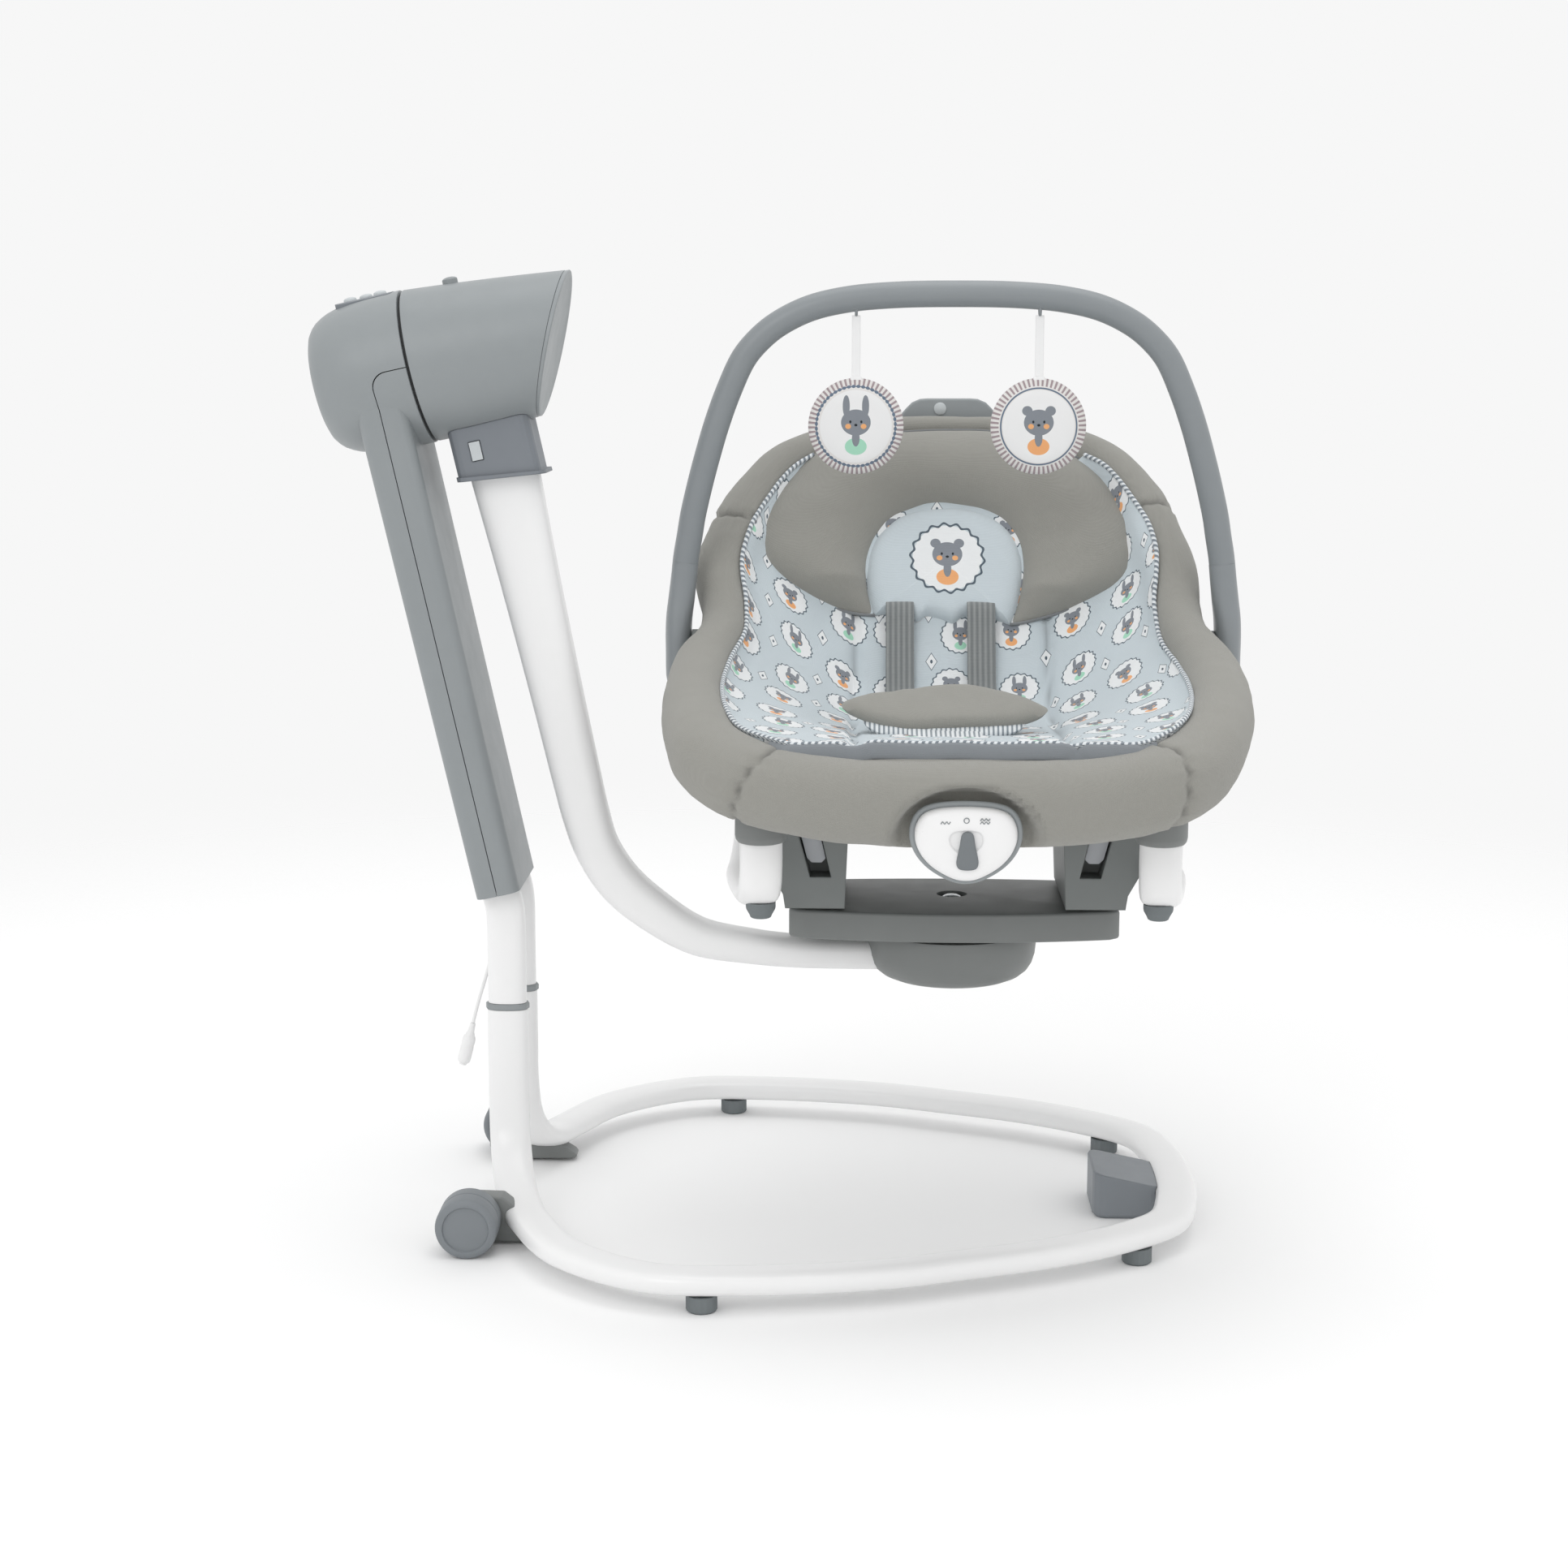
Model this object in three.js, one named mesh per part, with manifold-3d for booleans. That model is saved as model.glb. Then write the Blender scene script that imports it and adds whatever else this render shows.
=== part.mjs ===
// A baby swing: a looped floor frame on wheels carries a leaning post with a motor head. A tapered arm
// hangs from
// the head and ends in a turntable, and a rocker seat with a carrying handle and two toys stands on its
// cradle.
// Millimetres, +Z up. The seat faces -Y and the post stands on its -X side.
import * as THREE from 'three';
import { mergeVertices } from 'three/addons/utils/BufferGeometryUtils.js';
import { ParametricGeometry } from 'three/addons/geometries/ParametricGeometry.js';
import Module from 'manifold-3d';

const wasm = await Module();
wasm.setup();

// ---- driving dimensions ---------------------------------------------------------------------------------
const GAP = 0.3; // left between pieces that touch
const FRAME_SHIFT = [159, 7]; // moves the seat's axis so that the whole stands centred on the origin

// floor frame
const LOOP_REAR = -415; // X of the two lower legs
const LOOP_LENGTH = 628; // from the legs to the nose of the loop
const LOOP_HALF_WIDTH = 290; // to the tube's centre line
const LEG_HALF_SPACING = 36;
const TUBE_WIDE = 38;
const TUBE_HIGH = 22;
const LOOP_HEIGHT = 26; // the tube's centre line above the floor
const RING_HEIGHT = 200; // joint between the lower and the upper legs
const RING_THICK = 6;
const FOOT_RADIUS = 13.5;
const BLOCK_SLOPE = 12; // degrees that the block's top falls towards the nose
const BLOCK_LOW_SIDE = 31.4; // height of the block's top beside the tube
const WHEEL_RADIUS = 28;
const WHEEL_WIDE = 40;
const WHEEL_X = -438;
const WHEEL_INNER_Y = 136;
const AXLE_RADIUS = 6;
const LEG_WIDE = 36;

// post and head, in a frame that leans back by TILT about the head's centre
const TILT = THREE.MathUtils.degToRad(12.4);
const HEAD_X = -490;
const HEAD_HEIGHT = 790;
const BARREL_RADIUS = 70;
const BARREL_LENGTH = 93;
const WALL = 3;
const POST_WALL = 1.9;
const POST_S = -34.5; // the post's centre line, measured along the head's axis from the seam
const POST_THICK = 41;
const POST_THICK_TOP = 46;
const POST_HALF_DEPTH = 62;
const POST_LENGTH = 485; // from the head's axis down to the post's bottom
const SHELL_GROOVE = 0.8; // the parting line between the two housing shells
const SHAFT_RADIUS = 12;
const LEAD_DIAMETER = 3.4;

// rotor, arm and turntable
const ROTOR_RADIUS = 69.5;
const ROTOR_SEAM = 1.6;
const ARM_S = 54; // the arm's centre line along the head's axis
const COLLAR_HALF = 38;
const COLLAR_HALF_DEPTH = 31;
const HUB_RADIUS = 80;
const HUB_BOTTOM = 222;
const HUB_TOP = 270;
const HUB_ARM_HEIGHT = 244.5; // where the arm enters the turntable bowl
const BOLT_RADIUS = 6;
const TRAY_HALF = 151;
const TRAY_HALF_DEPTH = 72;
const TRAY_BOW = 18;
const TRAY_BOTTOM = 274;
const TRAY_TOP = 301;
const PEG_X = 127;
const PEG_SIZE = [22, 64, 15];

// seat frame
const TOWER_HALF_DEPTH = 82;
const PLATE_BOTTOM = 398;
const PLATE_THICK = 9;
const RUNNER_FRONT = [171.5, -200];
const RUNNER_REAR = [190, 150];
const RUNNER_HEIGHT = 339;
const RUNNER_WIDE = 37;
const RUNNER_THICK = 24;
const CUP_RADIUS = 22.5;
const SEAT_TUBE_RADIUS = 9;
const HANDLE_AXIS = [60, 515]; // Y and Z of the handle's pivots
const RECLINE_AXIS = [70, 455]; // Y and Z of the backrest's hinge
const RECLINE_BACK = THREE.MathUtils.degToRad(12); // how far the backrest leans back
const HUB_PLATE_X = 238.4; // inner face of the side plates
const HUB_PLATE_THICK = 7.6;
const POD_THICK = 24;
const HANDLE_RADIUS = 12.2;
const HANDLE_TOP = 855.5; // centre line of the handle's crown

// soft goods
const INSERT_THICK = 10;
const STRAP_WIDE = 27;
const STRAP_X = [-52, 33];
const TOY_X = [-92, 78];
const TOY_RADIUS = 44.5;
const TOY_THICK = 16;
const TOY_HEIGHT = 734;
const HOOK_HEIGHT = HANDLE_TOP - HANDLE_RADIUS - 7.3; // top of the toys' straps

// ---- colours --------------------------------------------------------------------------------------------
const material = (color, roughness, metalness = 0) => new THREE.MeshStandardMaterial({ color, roughness,
  metalness });
const whiteTube = material(0xe6e7e8, 0.35);
const coolGrey = material(0x8f9598, 0.5);
const darkGrey = material(0x73777c, 0.5);
const warmGrey = material(0x7c7d79, 0.55);
const rubberGrey = material(0x6d7173, 0.8);
const paleButton = material(0xb9bfc2, 0.45);
const steel = material(0xb8bcc0, 0.3, 1);
const brass = material(0x8a8f93, 0.4, 1);
const coverCloth = material(0x9a9893, 0.9);
const linerCloth = material(0xccd6db, 0.9);
const webbing = material(0x85888a, 0.85);
const whiteShell = material(0xececec, 0.35);
const toyCloth = material(0xd9d6d4, 0.9);

// ---- shape helpers --------------------------------------------------------------------------------------
const V = (x, y, z) => new THREE.Vector3(x, y, z);
const mix = THREE.MathUtils.lerp;

/** Welds a geometry to shared vertices, drops collapsed faces and turns it so that it faces out. */
function welded(geometry) {
  geometry.deleteAttribute('normal');
  geometry.deleteAttribute('uv');
  const merged = mergeVertices(geometry, 1e-3);
  const position = merged.attributes.position;
  const corner = (i) => V(position.getX(i), position.getY(i), position.getZ(i));
  const kept = [];
  let volume = 0;
  for (let i = 0; i < merged.index.count; i += 3) {
    const [a, b, c] = [0, 1, 2].map((k) => merged.index.getX(i + k));
    if (a === b || b === c || c === a) continue;
    kept.push(a, b, c);
    volume += corner(a).dot(corner(b).cross(corner(c)));
  }
  if (volume < 0) kept.reverse();
  merged.setIndex(kept);
  return merged;
}

function solidOf(geometry) {
  const shape = welded(geometry);
  return new wasm.Manifold(new wasm.Mesh({
    numProp: 3,
    vertProperties: new Float32Array(shape.attributes.position.array),
    triVerts: new Uint32Array(shape.index.array),
  }));
}

function geometryOf(solid) {
  const mesh = solid.getMesh();
  const geometry = new THREE.BufferGeometry();
  geometry.setAttribute('position', new THREE.BufferAttribute(mesh.vertProperties, 3));
  geometry.setIndex(new THREE.BufferAttribute(mesh.triVerts, 1));
  geometry.computeVertexNormals();
  return geometry;
}

const join = (first, ...others) => geometryOf(others.reduce((sum, g) => sum.add(solidOf(g)), solidOf(first)));
const cut = (first, ...others) => geometryOf(others.reduce((rest, g) => rest.subtract(solidOf(g)),
  solidOf(first)));
const common = (first, ...others) => geometryOf(others.reduce((rest, g) => rest.intersect(solidOf(g)),
  solidOf(first)));

/** A closed skin over rings of points, with both ends closed; rings all have the same count. */
function skin(rings) {
  const middle = (ring) => ring.reduce((sum, p) => sum.add(p), V(0, 0, 0)).divideScalar(ring.length);
  const closed = [rings[0].map(() => middle(rings[0])), ...rings,
    rings.at(-1).map(() => middle(rings.at(-1)))];
  const around = rings[0].length;
  const along = closed.length - 1;
  const at = (u, v, target) => {
    const ring = closed[Math.round(v * along)];
    target.copy(ring[Math.round(u * around) % around]);
  };
  return welded(new ParametricGeometry(at, around, along));
}

/** Points of an oval: power 2 is an ellipse, and a higher power is squarer. */
function oval(halfWide, halfHigh, sides, power = 2) {
  const bend = (c) => Math.sign(c) * Math.abs(c) ** (2 / power);
  return Array.from({ length: sides }, (_, i) => {
    const angle = (2 * Math.PI * i) / sides;
    return new THREE.Vector2(halfWide * bend(Math.cos(angle)), halfHigh * bend(Math.sin(angle)));
  });
}

/** Points of a rectangle with round corners. */
function roundedBox(halfWide, halfHigh, radius, steps = 3) {
  const points = [];
  for (let quarter = 0; quarter < 4; quarter += 1) {
    const sx = quarter === 0 || quarter === 3 ? 1 : -1;
    const sy = quarter < 2 ? 1 : -1;
    for (let i = 0; i <= steps; i += 1) {
      const angle = (Math.PI / 2) * (quarter + i / steps);
      const x = sx * (halfWide - radius) + radius * Math.cos(angle);
      points.push(new THREE.Vector2(x, sy * (halfHigh - radius) + radius * Math.sin(angle)));
    }
  }
  return points;
}

/** A smooth curve whose section keeps one side towards a guide direction. */
class GuidedCurve extends THREE.CatmullRomCurve3 {
  constructor(points, guide, closed = false) {
    super(points, closed, 'centripetal');
    this.guide = guide;
  }

  computeFrenetFrames(segments) {
    const frames = { tangents: [], normals: [], binormals: [] };
    for (let i = 0; i <= segments; i += 1) {
      const tangent = this.getTangentAt(i / segments).normalize();
      const thin = this.guide(this.getPointAt(i / segments), tangent).clone();
      thin.addScaledVector(tangent, -thin.dot(tangent)).normalize();
      frames.tangents.push(tangent);
      frames.binormals.push(thin);
      frames.normals.push(thin.clone().cross(tangent));
    }
    return frames;
  }
}

/** A bar or tube of one section along a guided curve. */
function sweep(curve, section, steps) {
  const shape = new THREE.Shape(section);
  return welded(new THREE.ExtrudeGeometry(shape, { steps, extrudePath: curve, curveSegments: 1 }));
}

/** An outline in X and Z, pushed out along Y from yLow to yHigh. */
function slabY(outline, yLow, yHigh) {
  const geometry = new THREE.ExtrudeGeometry(new THREE.Shape(outline), {
    depth: yHigh - yLow, bevelEnabled: false, curveSegments: 1,
  });
  return geometry.rotateX(Math.PI / 2).translate(0, yHigh, 0);
}

/** An outline in X and Y, pushed up from zLow to zHigh. */
function slabZ(outline, zLow, zHigh, bevel = 0) {
  const geometry = new THREE.ExtrudeGeometry(new THREE.Shape(outline), {
    depth: zHigh - zLow - 2 * bevel, curveSegments: 1, bevelEnabled: bevel > 0, bevelSize: bevel,
      bevelOffset: -bevel,
    bevelThickness: bevel, bevelSegments: 1,
  });
  return geometry.translate(0, 0, zLow + bevel);
}

/** An outline in Y and Z, pushed along X from xLow to xHigh. */
function slabX(outline, xLow, xHigh, bevel = 0) {
  const geometry = slabZ(outline, xLow, xHigh, bevel);
  const turn = new THREE.Matrix4().makeBasis(V(0, 1, 0), V(0, 0, 1), V(1, 0, 0));
  return geometry.applyMatrix4(turn);
}

/** A turned solid; its profile is [radius, height] pairs, and it stands along Z. */
function turned(profile, segments = 24) {
  const points = profile.map(([r, z]) => new THREE.Vector2(r, z));
  return new THREE.LatheGeometry(points, segments).rotateX(Math.PI / 2);
}
const turnedX = (profile, segments) => turned(profile, segments).rotateY(Math.PI / 2);
const rod = (radius, low, high, segments = 16) => turned([[0, low], [radius, low], [radius, high],
  [0, high]], segments);
const box = (x, y, z) => new THREE.BoxGeometry(x[1] - x[0], y[1] - y[0], z[1] - z[0])
  .translate((x[0] + x[1]) / 2, (y[0] + y[1]) / 2, (z[0] + z[1]) / 2);

const swing = new THREE.Group();
swing.position.set(FRAME_SHIFT[0], FRAME_SHIFT[1], 0);

function part(name, geometry, look, parent = swing) {
  const mesh = new THREE.Mesh(welded(geometry.clone()), look);
  mesh.geometry.computeVertexNormals();
  mesh.name = name;
  parent.add(mesh);
  return mesh;
}
const sides = [['left', -1], ['right', 1]];
const ends = [['front', -1], ['rear', 1]];

// ---- floor frame ----------------------------------------------------------------------------------------
// The loop's outline from a leg to the nose: [share of the loop's length, share of its half width].
const LOOP_OUTLINE = [
  [0.054, 0.515], [0.118, 0.786], [0.24, 0.983], [0.358, 1], [0.548, 0.94], [0.672, 0.845], [0.795, 0.735],
  [0.9, 0.593], [0.967, 0.448], [0.992, 0.25],
];

function loopCurve() {
  const top = RING_HEIGHT - RING_THICK / 2 - GAP;
  const half = [
    V(LOOP_REAR, LEG_HALF_SPACING, top), V(LOOP_REAR, LEG_HALF_SPACING, 150),
      V(LOOP_REAR, LEG_HALF_SPACING + 1, 108),
    V(LOOP_REAR + 2, LEG_HALF_SPACING + 11, 72), V(LOOP_REAR + 9, LEG_HALF_SPACING + 40, LOOP_HEIGHT + 17),
    V(LOOP_REAR + 20, LEG_HALF_SPACING + 76, LOOP_HEIGHT + 2),
    ...LOOP_OUTLINE.map(([along, wide]) => V(LOOP_REAR + along * LOOP_LENGTH, wide * LOOP_HALF_WIDTH,
      LOOP_HEIGHT)),
  ];
  const mirrored = half.map((p) => V(p.x, -p.y, p.z));
  const nose = V(LOOP_REAR + LOOP_LENGTH, 0, LOOP_HEIGHT);
  // The tube's thin side faces outwards on the legs and up on the loop.
  const guide = (p, t) => V(0, Math.sign(p.y) * Math.abs(t.z), 1);
  return new GuidedCurve([...mirrored, nose, ...half.reverse()], guide);
}

const LOOP_STEPS = 54;
const loop = loopCurve();
const tubeSection = (grow = 0) => oval(TUBE_WIDE / 2 + grow, TUBE_HIGH / 2 + grow, 12, 2.5);
const loopTube = sweep(loop, tubeSection(), LOOP_STEPS);
const loopTubeGrown = sweep(loop, tubeSection(GAP), LOOP_STEPS);

/** The point of the loop's centre line at a given X, on the front or rear side. */
function loopAt(x, side) {
  const points = loop.getSpacedPoints(400).filter((p) => p.z < LOOP_HEIGHT + 1 && p.y * side > 0);
  return points.reduce((best, p) => (Math.abs(p.x - x) < Math.abs(best.x - x) ? p : best));
}

function buildFloorFrame() {
  part('base_tube', loopTube, whiteTube);
  const footTop = LOOP_HEIGHT - TUBE_HIGH / 2 - GAP;
  for (const [end, side] of ends) {
    for (const [hand, x] of [['left', -221], ['right', 164]]) {
      const spot = loopAt(x, side);
      const foot = turned([[0, 0], [FOOT_RADIUS - 1.5, 0], [FOOT_RADIUS, 1.5], [FOOT_RADIUS, footTop],
        [0, footTop]], 16);
      part(`foot_pad_${end}_${hand}`, foot, rubberGrey).position.set(spot.x, spot.y, 0);
    }
  }

  const ringShape = (grow) => oval(TUBE_WIDE / 2 + grow, TUBE_HIGH / 2 + grow, 12, 2.5);
  for (const [end, side] of ends) {
    const ring = slabZ(ringShape(1.4), -RING_THICK / 2, RING_THICK / 2, 0.8);
    part(`leg_ring_${end}`, ring, coolGrey).position.set(LOOP_REAR, side * LEG_HALF_SPACING, RING_HEIGHT);
  }
}

function buildWheels() {
  const treadEdge = 3;
  const boreDepth = WHEEL_WIDE - 5;
  const bore = AXLE_RADIUS + 0.4;
  const wheel = turned([
    [0, boreDepth], [bore, boreDepth], [bore, 0], [WHEEL_RADIUS - treadEdge, 0], [WHEEL_RADIUS, treadEdge],
    [WHEEL_RADIUS, WHEEL_WIDE - treadEdge], [WHEEL_RADIUS - treadEdge, WHEEL_WIDE], [21, WHEEL_WIDE],
    [20, WHEEL_WIDE - 1.5], [0, WHEEL_WIDE - 1.5],
  ], 22);
  const inner = WHEEL_INNER_Y - 2;
  const arm = [
    [WHEEL_X - 15, WHEEL_RADIUS - 10], [WHEEL_X - 8, 12], [LOOP_REAR + 30, 5], [LOOP_REAR + 50, 5],
    [LOOP_REAR + 54, 14], [LOOP_REAR + 50, 40], [WHEEL_X + 8, 44], [WHEEL_X - 15, WHEEL_RADIUS + 10],
  ].map(([x, z]) => new THREE.Vector2(x, z));
  const axle = rod(AXLE_RADIUS, 0, boreDepth - 1 + 2);
  for (const [end, side] of ends) {
    const turn = side < 0 ? Math.PI / 2 : -Math.PI / 2;
    const hub = axle.clone().rotateX(turn).translate(WHEEL_X, side * (inner - 1), WHEEL_RADIUS);
    const plate = slabY(arm, Math.min(side * (inner - 22), side * inner),
      Math.max(side * (inner - 22), side * inner));
    part(`wheel_bracket_${end}`, cut(join(plate, hub), loopTubeGrown), darkGrey);
    const placed = part(`wheel_${end}`, wheel, coolGrey);
    placed.position.set(WHEEL_X, side * WHEEL_INNER_Y, WHEEL_RADIUS);
    placed.rotation.x = turn;
  }
}

/** A low block that fills the corner of the loop by its nose. */
function buildBaseBlock() {
  const right = LOOP_REAR + LOOP_LENGTH - TUBE_WIDE / 2 + 6;
  const outline = roundedBox(33, 40, 12).map((p) => new THREE.Vector2(p.x + right - 33, p.y - 8));
  const block = slabZ(outline, 0, 46, 3);
  const slope = box([-120, 60], [-120, 120], [0, 60]).rotateY(THREE.MathUtils.degToRad(BLOCK_SLOPE))
    .translate(right - 4.4, 0, BLOCK_LOW_SIDE);
  part('base_block', cut(block, slope, loopTubeGrown), darkGrey);
}

// ---- post and head --------------------------------------------------------------------------------------
const head = new THREE.Group();
head.position.set(HEAD_X, 0, HEAD_HEIGHT);
head.rotation.y = -TILT;
swing.add(head);
head.updateMatrix();
/** A point of the head's leaning frame, in the frame of the whole. */
const fromHead = (s, y, r) => V(s, y, r).applyMatrix4(head.matrix);

function legCurve(side, low, high) {
  // Straight up from the ring, then along the post's centre line.
  const y = side * LEG_HALF_SPACING;
  const points = [V(LOOP_REAR, y, low), V(LOOP_REAR, y, low + 20), V(LOOP_REAR, y, low + 45)];
  for (const r of [POST_LENGTH + 18, POST_LENGTH - 2, POST_LENGTH - 40, high]) points.push(fromHead(POST_S,
    y, -r));
  return new GuidedCurve(points, () => V(0, 1, 0));
}

/** The post's outer form, or its inside when it is shrunk by a wall. */
function postForm(shrink, bottom, top) {
  const ring = (thick, r) => roundedBox(thick / 2 - shrink, POST_HALF_DEPTH - shrink, 10 - shrink, 3)
    .map((p) => V(POST_S + p.x, p.y, r));
  return skin([ring(POST_THICK, bottom), ring(POST_THICK_TOP, top)]);
}

/** The barrel of the head from its round cap to the seam, shrunk by a wall. */
function barrelForm(shrink, seam) {
  const profile = [
    [38, -BARREL_LENGTH + 0.6], [50, -BARREL_LENGTH + 4], [58, -82], [64, -70], [67.5, -56],
      [BARREL_RADIUS - 0.2, -30],
  ];
  const inset = profile.map(([r, s]) => [r - shrink * (r > 60 ? 1 : 0.8), s + shrink * (r < 60 ? 1 : 0.4)]);
  const tip = [[0, -BARREL_LENGTH + shrink]];
  return turnedX([...tip, ...inset, [BARREL_RADIUS - shrink, seam], [0, seam]], 28);
}

function buildHead() {
  const seam = -1;
  const outer = join(barrelForm(0, seam), postForm(0, -POST_LENGTH, -20));
  const legHoles = ends.map(([, side]) => {
    const section = oval(LEG_WIDE / 2 + GAP, TUBE_HIGH / 2 + GAP, 12, 2.5).map((p) => V(p.x, p.y, 0));
    const ring = (r) => section.map((p) => V(POST_S + p.x, side * LEG_HALF_SPACING + p.y, r));
    return skin([ring(-POST_LENGTH - 5), ring(-POST_LENGTH + 30)]);
  });
  const glandHole = rod(4.3, -POST_LENGTH - 5, -POST_LENGTH + 10, 12).translate(GLAND_S, GLAND_Y, 0);
  const inside = join(barrelForm(WALL, seam - WALL), postForm(POST_WALL, -POST_LENGTH + WALL, -20 - WALL));
  const shaftHole = turnedX([[0, seam - 8], [SHAFT_RADIUS + 3, seam - 8], [SHAFT_RADIUS + 3, 5], [0, 5]], 24);
  const panelWell = slabZ(roundedBox(27, 17, 6), 58, 90).translate(PANEL_S, 0, 0);
  const shell = cut(outer, inside, shaftHole, ...legHoles, glandHole, panelWell);

  // The right shell is the lower quarter by the seam and the post's right half.
  const corner = 14;
  const rightRegion = (grow) => {
    const left = POST_S - grow;
    const top = grow;
    const outline = [new THREE.Vector2(40, -POST_LENGTH - 40), new THREE.Vector2(40, top)];
    for (let i = 0; i <= 4; i += 1) {
      const angle = Math.PI / 2 + (Math.PI / 8) * i;
      outline.push(new THREE.Vector2(left + corner + corner * Math.cos(angle),
        top - corner + corner * Math.sin(angle)));
    }
    outline.push(new THREE.Vector2(left, -POST_LENGTH - 40));
    return slabY(outline, -120, 120);
  };
  part('housing_left_shell', cut(shell, rightRegion(SHELL_GROOVE / 2)), coolGrey, head);
  part('housing_right_shell', common(shell, rightRegion(-SHELL_GROOVE / 2)), coolGrey, head);

  for (const [end, side] of ends) {
    const low = RING_HEIGHT + RING_THICK / 2 + GAP;
    const section = oval(LEG_WIDE / 2, TUBE_HIGH / 2, 12, 2.5);
    part(`upper_leg_${end}`, sweep(legCurve(side, low, POST_LENGTH - 60), section, 10), whiteTube);
  }

  const face = seam - WALL - GAP;
  const motor = turnedX([
    [0, -66], [30, -66], [34, -62], [34, face - 6], [46, face - 6], [46, face], [SHAFT_RADIUS + 0.5, face],
    [SHAFT_RADIUS + 0.5, face - 16], [0, face - 16],
  ], 20);
  part('drive_unit', motor, brass, head);
}

const PANEL_S = -34;
const BUTTONS = [['power_button', -48, 0], ['speed_button', -34, 5], ['timer_button', -20, 0]];

/** The control panel on top of the barrel, with push buttons that travel straight down. */
function buildPanel() {
  const shape = slabZ(roundedBox(26.6, 16.6, 5.6), 61, 76);
  const crown = turnedX([[0, -40], [BARREL_RADIUS + 0.4, -40], [BARREL_RADIUS + 0.4, 40], [0, 40]], 48);
  const wells = BUTTONS.map(([, s, y]) => rod(6.4, 66, 90, 14).translate(s - PANEL_S, y, 0));
  const panel = part('control_panel', cut(common(shape, crown), ...wells), darkGrey, head);
  panel.position.set(PANEL_S, 0, 0);
  for (const [name, s, y] of BUTTONS) {
    const dome = turned([[0, 67.6], [6, 67.6], [6, 71.6], [4.6, 73], [2.4, 73.6], [0, 73.8]], 10);
    part(name, dome, paleButton, head).position.set(s, y, 0);
  }
}

// ---- lead -----------------------------------------------------------------------------------------------
const GLAND_S = POST_S - 9.5;
const GLAND_Y = 0;
const LEAD_DROP = [ // the route below the gland: [X, Z]
  [-430.4, 294], [-430.6, 284], [-431, 274], [-431.6, 264], [-432.6, 254], [-434, 244], [-436, 234],
    [-438.4, 225],
  [-441, 216], [-443.8, 207], [-446.6, 198], [-449.2, 189], [-451.6, 180], [-453.4, 173],
];
const LEAD_END_LEAN = THREE.MathUtils.degToRad(14.5);

function buildLead() {
  const gland = turned([[0, -6], [3.4, -6], [5.6, -2], [5.6, -GAP], [3.9, -GAP], [3.9, WALL + 6],
    [0, WALL + 6]], 12);
  part('lead_gland', gland, darkGrey, head).position.set(GLAND_S, GLAND_Y, -POST_LENGTH);
  const start = fromHead(GLAND_S, GLAND_Y, -POST_LENGTH - 6 - 5 * GAP);
  const route = [start, ...LEAD_DROP.map(([x, z]) => V(x, 0, z))];
  const section = oval(LEAD_DIAMETER / 2, LEAD_DIAMETER / 2, 8);
  part('lead', sweep(new GuidedCurve(route, () => V(0, 1, 0)), section, 15), whiteTube);
  const plug = turned([
    [0, 0], [2.6, 0], [3.2, -9], [4.2, -12], [5.4, -13], [6.3, -16], [6.3, -36], [5.6, -40], [3.4, -40.5],
      [3.4, -42],
    [0, -42],
  ], 12);
  const connector = part('lead_connector', plug, whiteShell);
  connector.position.copy(route.at(-1));
  connector.rotation.y = LEAD_END_LEAN;
  connector.translateZ(-GAP);
}

// ---- rotor, collar and arm ------------------------------------------------------------------------------
/** The rotor, from its round seam face to its slanted end; share picks a section between the two. */
function rotorRing(share, shrink, sides = 28) {
  const end = { s: 126.5, r: -6.6, ds: 27.75, dr: 61.2, y: 66 };
  return Array.from({ length: sides }, (_, i) => {
    const angle = (2 * Math.PI * i) / sides;
    const [c, up] = [Math.cos(angle), Math.sin(angle)];
    const scale = (size) => (size - shrink) / size;
    const near = V(ROTOR_SEAM, ROTOR_RADIUS * c, ROTOR_RADIUS
      * up).multiply(V(1, scale(ROTOR_RADIUS), scale(ROTOR_RADIUS)));
    const far = V(end.s + end.ds * up * scale(67), end.y * c * scale(end.y), end.r + end.dr * up * scale(67));
    return near.lerp(far, share);
  });
}

const CAP_SHARE = 1 - 4 / 126; // where the end cap begins

/** The rotor's outer form, or a larger one. */
function rotorForm(grow) {
  const ring = (share, bulge) => rotorRing(share, -grow - bulge);
  return skin([ring(-grow / 126, 0), ring(0.35, 0.8), ring(0.75, 0.6), ring(CAP_SHARE - 0.003, 0)]);
}

function buildRotor() {
  const outer = rotorForm(0);
  const inside = skin([rotorRing(0.034, WALL), rotorRing(1.1, WALL)]);
  const shaftHole = turnedX([[0, -5], [SHAFT_RADIUS + 0.4, -5], [SHAFT_RADIUS + 0.4, 20], [0, 20]]);
  const bump = turned([[0, 60], [6.5, 60], [6.5, 70.4], [4.5, 71.4], [0, 71.8]], 16).translate(45, 0, 0);
  part('rotor_shell', cut(join(outer, bump), inside, shaftHole), coolGrey, head);
  const cap = skin([rotorRing(CAP_SHARE, 0.4), rotorRing(1, 0.4), rotorRing(1.006, 2)]);
  part('rotor_end_cap', cap, coolGrey, head);
  const face = -1 - WALL - GAP;
  const [inner, flange] = [face - 15.5, ROTOR_SEAM + 5.2 + GAP];
  const shaft = turnedX([
    [0, inner], [SHAFT_RADIUS, inner], [SHAFT_RADIUS, flange], [24, flange], [24, flange + 5],
      [0, flange + 5],
  ], 20);
  part('drive_shaft', shaft, steel, head);
}

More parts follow.
